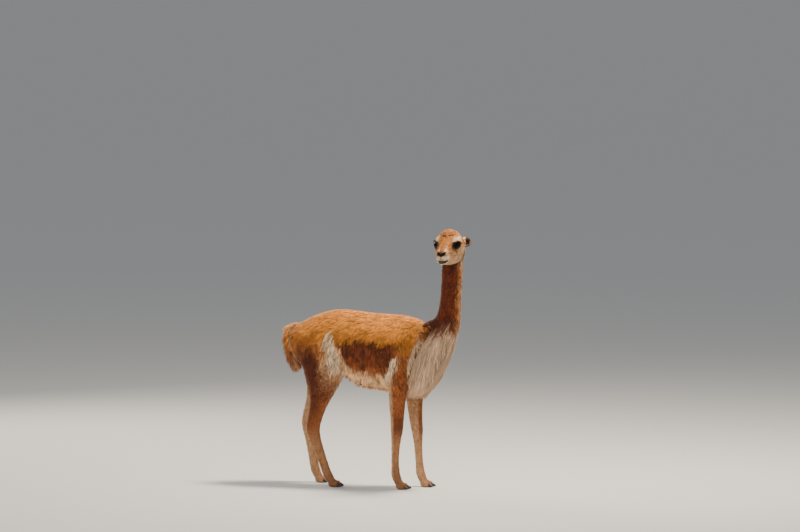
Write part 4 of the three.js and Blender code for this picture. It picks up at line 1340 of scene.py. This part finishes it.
class VICUNA_OT_skin(bpy.types.Operator):
    """Makes one skin of all the flesh, as deep under the solids as the coat is thick."""

    bl_idname = "vicuna.skin"
    bl_label = "Skin"

    def execute(self, context):
        body_shape = merged_copy(FLESH)
        lofted(body_shape, breast_core_rings())
        lofted(body_shape, tail_core_rings())
        head_shape = self.swollen(merged_copy(["head", "neck"]))
        cut = bmesh.ops.bisect_plane(
            head_shape,
            geom=[*head_shape.verts, *head_shape.edges, *head_shape.faces],
            plane_co=(0, 0, HEAD_SHELL_FOOT),
            plane_no=(0, 0, 1),
            clear_inner=True,
        )
        rim = [edge for edge in cut["geom_cut"] if isinstance(edge, bmesh.types.BMEdge)]
        bmesh.ops.holes_fill(head_shape, edges=rim)
        body = remeshed("skin_body", self.swollen(body_shape), *BODY_MESH)
        head = remeshed("skin_head", head_shape, *HEAD_MESH)
        self.sink_under(body.data)
        self.fill_nape(head.data)
        joined = bmesh.new()
        joined.from_mesh(body.data)
        body_count = len(joined.verts)
        joined.from_mesh(head.data)
        bpy.data.objects.remove(body)
        bpy.data.objects.remove(head)
        mesh = bpy.data.meshes.new("skin")
        joined.to_mesh(mesh)
        joined.free()
        points, normals = points_of(mesh), normals_of(mesh)
        parts = part_of_points(points)
        sunk = points - normals * coat_depth(points, parts)[:, None]
        mesh.vertices.foreach_set("co", sunk.ravel())
        mesh.attributes.new("part", "INT", "POINT").data.foreach_set("value", parts.astype(np.int32))
        mesh.update()
        mesh.shade_smooth()
        # Painted shading of the skin: darkened as painted shade deep under the long coat, less where the
        # trunk faces down, and only a little on the head and lower legs, where the coat is short.
        short = (parts == HEAD) | (((parts == HIND) | (parts == FORE)) & (to_body(sunk)[:, 2] < 0.45))
        under = ease(0.3, 0.8, -normals[:, 2]) * (parts == TRUNK)
        painted_shading = np.where(short, 0.9, 0.62 + 0.30 * under)
        paint(mesh, markings(sunk, normals_of(mesh), parts) * painted_shading[:, None])
        material = marked_material("Skin", roughness=0.7, grain=900.0, strength=0.5, bump=0.5)
        on_root(add_object("skin", mesh, material), "coat", *FLESH)
        surface = Skin(mesh)
        in_head = surface.corners[:, 0] >= body_count
        above = surface.centres[:, 2] > HEAD_SHELL_FOOT + HEAD_SHELL_LAP
        surface.outer = np.where(in_head, above, ~above) * 1.0
        skin["surface"] = surface
        return {"FINISHED"}

    def swollen(self, shape):
        """Closes the fine gaps between the solids before they become one skin."""
        shape.normal_update()
        for vertex in shape.verts:
            vertex.co += vertex.normal * GAP_CLOSER
        return shape

    def fill_nape(self, mesh):
        """Raises the flat top of the neck behind the head into a slope that meets the nape."""
        points, normals = points_of(mesh), normals_of(mesh)
        place = to_body(points)
        behind = to_head(place)[:, 0] < NAPE_FRONT
        upright = np.abs(normals[:, 2]) < 0.35
        rim = points[behind & upright & (np.abs(place[:, 2] - NECK_TOP + 0.016) < 0.005)]
        top = np.flatnonzero(behind & (normals[:, 2] > 0.35) & (np.abs(place[:, 2] - NECK_TOP) < 0.012))
        for vertex in top:
            reach = np.sqrt(((rim[:, :2] - points[vertex, :2]) ** 2).sum(axis=1).min())
            points[vertex, 2] += min(NAPE_SLOPE * reach, NAPE_LIMIT)
        mesh.vertices.foreach_set("co", points.ravel())
        mesh.update()

    def sink_under(self, mesh):
        """Draws the coarse skin of the head in, under the fine one."""
        points, normals = points_of(mesh), normals_of(mesh)
        deep = 0.0035 * ease(HEAD_SHELL_FOOT + 0.01, HEAD_SHELL_FOOT + 0.04, points[:, 2])
        mesh.vertices.foreach_set("co", (points - normals * deep[:, None]).ravel())
        mesh.update()


class VICUNA_OT_eyes(bpy.types.Operator):
    """Models the eyeballs with a clear bulge in front."""

    bl_idname = "vicuna.eyes"
    bl_label = "Eyes"

    def execute(self, context):
        material = eye_material()
        for name, side in (("eye_left", 1), ("eye_right", -1)):
            look = head_direction(math.cos(EYE_ANGLE), side * math.sin(EYE_ANGLE), -0.05)
            centre = head_point(EYE_AT[0], side * EYE_AT[1], EYE_AT[2])
            shape = bmesh.new()
            bmesh.ops.create_uvsphere(shape, u_segments=40, v_segments=28, radius=EYE_RADIUS - 0.0002)
            mesh = bpy.data.meshes.new(name)
            shape.to_mesh(mesh)
            shape.free()
            turn = Vector(look).to_track_quat("Z", "Y").to_matrix()
            local = points_of(mesh)
            front = local[:, 2] / EYE_RADIUS
            local *= (1 + 0.035 * ease(0.82, 1.0, front))[:, None]
            mesh.vertices.foreach_set("co", (local @ np.array(turn).T + centre).ravel())
            paint(mesh, self.colours(local, front))
            mesh.update()
            mesh.shade_smooth()
            on_root(add_object(name.replace("eye", "eyeball"), mesh, material), "eye", name)
        return {"FINISHED"}

    def colours(self, local, front):
        """Brown round the rim, a deep brown iris, and a wide level pupil."""
        rim = np.tile(linear((0.07, 0.045, 0.035)), (len(local), 1))
        result = mix(rim, linear((0.085, 0.042, 0.022)), ease(0.62, 0.70, front))
        wide = np.hypot(local[:, 0] * 0.8, local[:, 1] * 1.4) / (EYE_RADIUS * 0.66)
        pupil = below(0.55, 0.72, wide) * (front > 0)
        return mix(result, linear((0.015, 0.015, 0.015)), pupil)


class VICUNA_OT_ears(bpy.types.Operator):
    """Models the ears as soft cups, tan outside and dark inside, with hair over their backs and rims."""

    bl_idname = "vicuna.ears"
    bl_label = "Ears"

    def execute(self, context):
        material = marked_material("Ear", roughness=0.75, grain=700.0, strength=0.5, bump=0.4)
        for name, side in (("ear_left", 1), ("ear_right", -1)):
            opens = head_direction(EAR_OPENS[0], side * EAR_OPENS[1], EAR_OPENS[2])
            along = head_direction(EAR_LIES[0], side * EAR_LIES[1], EAR_LIES[2])
            made = remeshed(f"{name}_cup", merged_copy([name]), *EAR_MESH)
            mesh = made.data
            paint(mesh, self.tones(points_of(mesh), normals_of(mesh), side, opens))
            parts = np.full(len(mesh.vertices), EAR, np.int32)
            mesh.attributes.new("part", "INT", "POINT").data.foreach_set("value", parts)
            mesh.shade_smooth()
            mesh.materials.clear()
            mesh.materials.append(material)
            on_root(made, "coat", name)
            surface = Skin(mesh)
            backs = 0.10 + 1.0 * (surface.normals[surface.corners[:, 0]] @ opens < 0.35)

            def towards_tip(points, normals, along=along):
                return unit(along - normals * (normals @ along)[:, None])

            def tones(points, normals, side=side, opens=opens):
                return self.tones(points, normals, side, opens)

            hair(f"{name}_hair", backs, material, surface=surface, lie=towards_tip, paint=tones)
        return {"FINISHED"}

    def tones(self, points, normals, side, opens):
        """Tan, pale at the front of the base, brown along the upper edge, and darker inside the cup as
        painted shade in its hollow.
        """
        colours = settings()[0]
        along = head_direction(EAR_LIES[0], side * EAR_LIES[1], EAR_LIES[2])
        base = head_point(EAR_BASE[0], side * EAR_BASE[1], EAR_BASE[2])
        share = (points - base) @ along / EAR_LENGTH
        facing = normals @ opens
        tone = np.tile(linear((0.62, 0.45, 0.34)), (len(points), 1))
        tone = mix(tone, linear(colours.flank), 0.85 * ease(0.1, 0.7, normals[:, 2]))
        tone = mix(tone, linear(colours.cream), 0.9 * below(0.34, 0.44, share) * ease(-0.2, 0.3, facing))
        # Painted shade in the hollow of the cup.
        deep = ease(0.45, 0.8, facing) * ease(0.34, 0.42, share) * below(0.80, 0.92, share)
        return mix(tone, linear((0.14, 0.075, 0.06)), deep)


class VICUNA_OT_nails(bpy.types.Operator):
    """Finishes the nails of the toes in horn."""

    bl_idname = "vicuna.nails"
    bl_label = "Nails"

    def execute(self, context):
        material = horn_material()
        for node in [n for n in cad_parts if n.startswith("nail_")]:
            made = remeshed(f"{node}_horn", merged_copy([node]), *NAIL_MESH)
            made.data.shade_smooth()
            made.data.materials.clear()
            made.data.materials.append(material)
            on_root(made, "horn", node)
        return {"FINISHED"}


class VICUNA_OT_trunk_coat(bpy.types.Operator):
    """Grows the coat of the back, flanks, belly, thighs and shoulders."""

    bl_idname = "vicuna.trunk_coat"
    bl_label = "Coat of the trunk"

    def execute(self, context):
        material = marked_material("Coat", roughness=0.8, grain=420.0, strength=0.4, sheen=0.15)
        surface = skin["surface"]
        x, _, z = to_body(surface.centres).T
        trunk = surface.own(TRUNK)
        thigh = surface.own(HIND) * (z > THIGH_FOOT)
        above = z > saddle_edge(x) - 0.004
        middle = (x > BARREL[0]) & (x < BARREL[1])
        rump = settings()[1].back_length
        hair("coat_back", trunk * above * middle, material, length=self.back_length, lift=self.back_lift)
        hair("coat_rump", trunk * ~middle * (z > RUMP_FOOT), material, length=rump)
        hair("coat_flanks", trunk * ~above * middle, material, length=self.low_length)
        haunch = np.clip(trunk * ~middle * (z <= RUMP_FOOT) + thigh, 0, 1)
        hair("coat_haunch", haunch, material, length=self.thigh_length)
        return {"FINISHED"}

    def back_length(self, points):
        """Longest along the edge that overhangs the flank."""
        x, _, z = to_body(points).T
        ledge = flank_window(x, z) * bump_at(z, saddle_edge(x), 0.035)
        return settings()[1].back_length * (1 + 0.35 * ledge)

    def back_lift(self, points):
        """The hair stands out most along that edge."""
        x, _, z = to_body(points).T
        return 0.25 + 0.28 * flank_window(x, z) * bump_at(z, saddle_edge(x), 0.03)

    def low_length(self, points):
        """Longer under the belly than on the flank."""
        coat = settings()[1]
        hang = below(0.50, 0.58, to_body(points)[:, 2])
        return coat.flank_length + (coat.belly_length - coat.flank_length) * hang

    def thigh_length(self, points):
        """Shorter down the thigh."""
        return 0.018 + 0.010 * ease(0.5, 0.66, to_body(points)[:, 2])


class VICUNA_OT_side_locks(bpy.types.Operator):
    """Hangs the loose locks: the flank's fold, the belly's fringe, the armpit and the elbow."""

    bl_idname = "vicuna.side_locks"
    bl_label = "Side locks"

    def execute(self, context):
        material = marked_material("Side locks", roughness=0.8, grain=420.0, strength=0.4, sheen=0.15)
        surface = skin["surface"]
        x, y, z = to_body(surface.centres).T
        flanks = np.abs(y) > 0.05
        body, rear = surface.own(TRUNK, FORE), surface.own(TRUNK, HIND)
        fold = bump_at(x, fold_line(z), 0.036) * (z > 0.60) * (z < 0.765) * flanks
        fringe = bump_at(z, 0.50, 0.03) * (x > -0.08) * (x < 0.16)
        pit = bump_at(x, armpit_line(z), 0.030) * (z > 0.53) * (z < 0.66) * flanks
        level = surface.steepness() > 0.45
        elbow = bump_at(x, 0.222, 0.055) * bump_at(z, 0.560, 0.10) * flanks * ~level
        hair("locks_fold", rear * fold, material)
        hair("locks_belly", body * fringe, material)
        hair("locks_armpit", body * pit, material)
        hair("locks_elbow", body * elbow, material)
        return {"FINISHED"}


class VICUNA_OT_leg_coat(bpy.types.Operator):
    """Grows the short coat of the legs down to the toes."""

    bl_idname = "vicuna.leg_coat"
    bl_label = "Coat of the legs"

    def execute(self, context):
        material = marked_material("Leg coat", roughness=0.8, grain=500.0, strength=0.4, sheen=0.1)
        surface = skin["surface"]
        z = to_body(surface.centres)[:, 2]
        for name, part, top in (("coat_hind_legs", HIND, THIGH_FOOT), ("coat_fore_legs", FORE, ELBOW_TOP)):
            weights = surface.own(part) * (z <= top) * (z > COAT_FOOT)
            hair(name, weights, material, length=self.length, width=self.width, keep=self.above_foot)
        return {"FINISHED"}

    def above_foot(self, points):
        """True where the coat hasn't yet ended over the toes."""
        return points[:, 2] > COAT_FOOT

    def length(self, points):
        """Longer towards the trunk, shortest on the foot."""
        height = to_body(points)[:, 2]
        foot = below(0.03, 0.10, height)
        return settings()[1].leg_length * (1 + 0.8 * ease(0.30, 0.50, height)) * (1 - 0.45 * foot)

    def width(self, points):
        """Finer down the leg."""
        return 0.0020 + 0.0009 * ease(0.2, 0.5, to_body(points)[:, 2])


class VICUNA_OT_neck_coat(bpy.types.Operator):
    """Grows the coat of the neck."""

    bl_idname = "vicuna.neck_coat"
    bl_label = "Coat of the neck"

    def execute(self, context):
        material = marked_material("Neck coat", roughness=0.8, grain=460.0, strength=0.4, sheen=0.1)
        surface = skin["surface"]
        height = to_body(surface.centres)[:, 2]
        ledge = (surface.steepness() > 0.42) & (height > 0.95) & (height < NECK_TOP - 0.02)
        hair("coat_neck", surface.own(NECK) * ~ledge, material, length=self.length)
        return {"FINISHED"}

    def length(self, points):
        """Longer at the base of the neck."""
        return settings()[1].neck_length * (1 + 0.5 * below(0.82, 0.95, to_body(points)[:, 2]))


class VICUNA_OT_face_coat(bpy.types.Operator):
    """Grows the short coat of the head, finest on the muzzle, and the lashes."""

    bl_idname = "vicuna.face_coat"
    bl_label = "Coat of the head"

    def execute(self, context):
        material = marked_material("Face coat", roughness=0.8, grain=800.0, strength=0.35, sheen=0.1)
        surface = skin["surface"]
        weights = surface.own(HEAD) * (1.0 + 1.2 * (1 - self.crown(surface.centres)))
        hair("coat_head", weights, material, length=self.length, width=self.width, keep=self.furred)
        f, l, u = to_head(to_body(surface.centres)).T
        around = np.abs(u + HEAD_CENTRE[2] - NECK_TOP - 0.010) < 0.026
        hair("locks_nape", surface.own(HEAD, NECK) * around * (f < NAPE_FRONT), material, lie=self.nape_lie)
        lid = bump_at(eye_distance(f, np.abs(l), u), 1.08, 0.12) * (u > EYE_AT[2] + 0.004)
        hair("lashes", surface.own(HEAD) * lid, material, lie=self.lash_lie, paint=self.lash_tones)
        return {"FINISHED"}

    def nape_lie(self, points, normals):
        """The hair of the nape falls outwards and down over the top of the neck."""
        away = to_body(points) - HEAD_CENTRE
        away[:, 2] = 0.0
        return unit(0.42 * unit(away) - np.array([0.0, 0.0, 0.9]))

    def lash_lie(self, points, normals):
        """Lashes stand out from the eye's middle, over the lid and a little down."""
        f, l, u = to_head(to_body(points)).T
        side = np.sign(l)
        away = np.stack([0.45 + 8 * (f - EYE_AT[0]), side * 0.85, 0.15 + 6 * (u - EYE_AT[2])], axis=-1)
        return unit(away @ HEAD_AXES)

    def lash_tones(self, points, normals):
        """Near black."""
        return np.tile(linear(LASH), (len(points), 1))

    def crown(self, points):
        """1 over the crown and the back of the head, 0 over the face."""
        f, _, u = to_head(to_body(points)).T
        return np.clip(ease(0.00, 0.05, u) * below(0.04, 0.07, f) + 0.7 * below(-0.04, 0.03, f), 0, 1)

    def length(self, points):
        """Longest on the crown and down the nape."""
        coat = settings()[1]
        f, _, u = to_head(to_body(points)).T
        nape = below(-0.07, -0.03, f) * below(0.0, 0.05, u)
        return coat.face_length + (coat.crown_length - coat.face_length) * self.crown(points) + 0.004 * nape

    def width(self, points):
        """Finest on the muzzle."""
        return 0.0012 + 0.0012 * self.crown(points)

    def furred(self, points):
        """False on the bare lids, nose and lips."""
        f, l, u = to_head(to_body(points)).T
        side = np.abs(l)
        nose = (nose_wing(side, u) < 0.008) & (side < 0.021) & (f > 0.110)
        lip = lip_share(f, l, u) > 0.15
        return ~((eye_distance(f, side, u) < 1.18) | nose | lip)


class VICUNA_OT_breast_locks(bpy.types.Operator):
    """Hangs the long white locks of the breast."""

    bl_idname = "vicuna.breast_locks"
    bl_label = "Breast locks"

    def execute(self, context):
        coat = settings()[1]
        material = marked_material("Breast locks", roughness=0.75, grain=300.0, strength=0.35, sheen=0.15)
        draw = np.random.default_rng(31 + coat.seed)
        count = coat.breast_locks
        top = BREAST_LOCK_FOOT + BREAST_LOCK_RANGE * draw.random(count) ** 0.85
        angle = (draw.random(count) * 2 - 1) * BREAST_LOCK_ROUND
        clump = mottle(np.stack([np.cos(angle), np.sin(angle), top * 4], axis=-1), 0.42, 33)
        reach = BREAST_LOCK_SHORTEST + BREAST_LOCK_GAIN * bump_at(top, 0.66, 0.17)
        reach = reach * draw.uniform(0.7, 1.15, count)
        layer = draw.random(count)
        depth = (0.012 + 0.020 * ease(0.80, 0.66, top)) * (0.35 + 0.65 * layer) + 0.002 * clump
        sweep = np.sign(angle) * 0.10 * (1 - np.cos(angle)) * below(0.54, 0.64, top)
        sweep += draw.normal(0, 0.03, count) + 0.04 * clump
        shares = np.array([-0.05, 0.14, 0.34, 0.54, 0.76, 1.0])
        fall = [1.25, 0.85, 0.6, 0.4, 0.25, 0.1]
        lift = draw.normal(0.0, 0.002, count)
        wave = draw.normal(0, 0.035, (count, 2))[:, 0]
        rows = []
        for share, part in zip(shares, fall):
            turned = hanging(angle, top, share * reach) + sweep * share * 3
            turned += wave * math.sin(share * 5) * 0.5
            rows.append(breast_outline(top - share * reach, turned, depth * part + lift * share))
        paths = np.stack(rows, axis=1)
        paths[..., 0] -= (shares * 0.012)[None, :] * (0.5 + np.abs(np.sin(angle)))[:, None]
        outs = unit(np.stack([np.cos(angle), np.sin(angle), np.full(count, 0.05)], axis=-1))
        tones = draw.normal(1.0, 0.22, count) * (1 + 0.16 * clump)
        colours = breast_colour(paths[:, 3], settings()[0]) * np.clip(tones, 0.5, 1.4)[:, None]
        widths = LONG_LOCK_WIDTH * draw.uniform(0.5, 1.3, count)
        # Painted shade at the roots of the locks and a painted highlight at their tips.
        painted_end_shades = (0.36, 1.14)
        nodes = ("breast_bib",)
        blades("breast_locks", "pale_coat", paths + ORIGIN, outs, widths, colours, material, painted_end_shades, nodes)
        self.edge_locks(material)
        return {"FINISHED"}

    def edge_locks(self, material):
        """Locks that carry the white of the breast back over the shoulder."""
        surface = skin["surface"]
        x, y, z = to_body(surface.centres).T
        white = ease(-0.012, 0.0, x - breast_edge(z)) * (z < 0.79) * (z > 0.56) * (np.abs(y) > 0.03)
        groove = bump_at(x, 0.325, 0.045) * bump_at(z, 0.735, 0.06)
        weights = surface.own(TRUNK) * white * (1 + 5 * groove) + 6 * surface.own(BREAST) * groove
        hair("locks_shoulder", weights, material)
        withers = surface.own(TRUNK) * ease(0.295, 0.325, x) * (z > 0.70)
        hair("locks_withers", withers, material, lie=self.forward_lie)

    def forward_lie(self, points, normals):
        """Forward and down, over the dip before the neck."""
        way = np.tile(np.array([0.75, 0.0, -0.65]), (len(normals), 1))
        way -= 0.75 * normals * np.sum(way * normals, axis=1, keepdims=True)
        return unit(way)


class VICUNA_OT_tail_locks(bpy.types.Operator):
    """Hangs the bushy locks of the tail."""

    bl_idname = "vicuna.tail_locks"
    bl_label = "Tail locks"

    def execute(self, context):
        coat = settings()[1]
        material = marked_material("Tail locks", roughness=0.8, grain=350.0, strength=0.4, sheen=0.1)
        draw = np.random.default_rng(41 + coat.seed)
        count = coat.tail_locks
        share = draw.random(count) * 0.95
        centre, ahead, radius = tail_outline(share)
        left = np.array([0.0, 1.0, 0.0])
        back = unit(np.cross(ahead, left))
        back *= np.sign(-back[:, :1])
        angle = (draw.random(count) * 2 - 1) * TAIL_LOCK_ROUND
        out = back * np.cos(angle)[:, None] + left * np.sin(angle)[:, None]
        reach = TAIL_LOCK_SHORTEST + TAIL_LOCK_GAIN * bump_at(share, 0.35, 0.6)
        reach = reach * draw.uniform(0.7, 1.2, count)
        stand = 0.012 * draw.uniform(-0.3, 1.9, count) * (1 - 0.3 * share)
        steps = np.array([-0.05, 0.25, 0.5, 0.75, 1.0])
        rise = np.array([-0.4, 0.5, 0.9, 1.2, 1.5])
        down = unit(ahead + np.array([0.14, 0.0, -0.5]) + draw.normal(0, 0.10, (count, 3)))
        paths = (
            (centre + out * (radius * 0.70)[:, None])[:, None, :]
            + down[:, None, :] * (reach[:, None] * steps[None, :])[..., None]
            + out[:, None, :] * (stand[:, None] * rise[None, :])[..., None]
        )
        colours = tail_colour(paths[:, 1], settings()[0]) * draw.normal(1.0, 0.34, count)[:, None]
        widths = LONG_LOCK_WIDTH * draw.uniform(0.6, 1.3, count)
        # The ends are shaded from 0.25 at the root, painted shade, to 1.4 at the tip, a painted highlight.
        blades("tail_locks", "coat", paths + ORIGIN, out, widths, colours, material, (0.25, 1.4), ("tail",))
        return {"FINISHED"}


class VICUNA_PT_panel(bpy.types.Panel):
    """Lists the steps that dress the vicuna."""

    bl_label = "Vicuna"
    bl_idname = "VICUNA_PT_panel"
    bl_space_type = "VIEW_3D"
    bl_region_type = "UI"
    bl_category = "Vicuna"

    def draw(self, context):
        for step in STEPS:
            self.layout.operator(step.bl_idname)
        for group in settings():
            for name in group.__annotations__:
                self.layout.prop(group, name)


STEPS = (
    VICUNA_OT_stage,
    VICUNA_OT_skin,
    VICUNA_OT_eyes,
    VICUNA_OT_ears,
    VICUNA_OT_nails,
    VICUNA_OT_trunk_coat,
    VICUNA_OT_side_locks,
    VICUNA_OT_leg_coat,
    VICUNA_OT_neck_coat,
    VICUNA_OT_face_coat,
    VICUNA_OT_breast_locks,
    VICUNA_OT_tail_locks,
)
GROUPS = (VicunaColours, VicunaCoat, VicunaStage)


def register():
    """Makes the classes and the three groups of settings known."""
    for kind in (*GROUPS, *STEPS, VICUNA_PT_panel):
        bpy.utils.register_class(kind)
    bpy.types.Scene.vicuna_colours = PointerProperty(type=VicunaColours)
    bpy.types.Scene.vicuna_coat = PointerProperty(type=VicunaCoat)
    bpy.types.Scene.vicuna_stage = PointerProperty(type=VicunaStage)


def unregister():
    """Takes them away again."""
    del bpy.types.Scene.vicuna_colours
    del bpy.types.Scene.vicuna_coat
    del bpy.types.Scene.vicuna_stage
    for kind in reversed((*GROUPS, *STEPS, VICUNA_PT_panel)):
        bpy.utils.unregister_class(kind)


def main():
    """Dresses the solids step by step."""
    register()
    for step in STEPS:
        section, name = step.bl_idname.split(".")
        getattr(getattr(bpy.ops, section), name)()


if __name__ == "__main__":
    main()
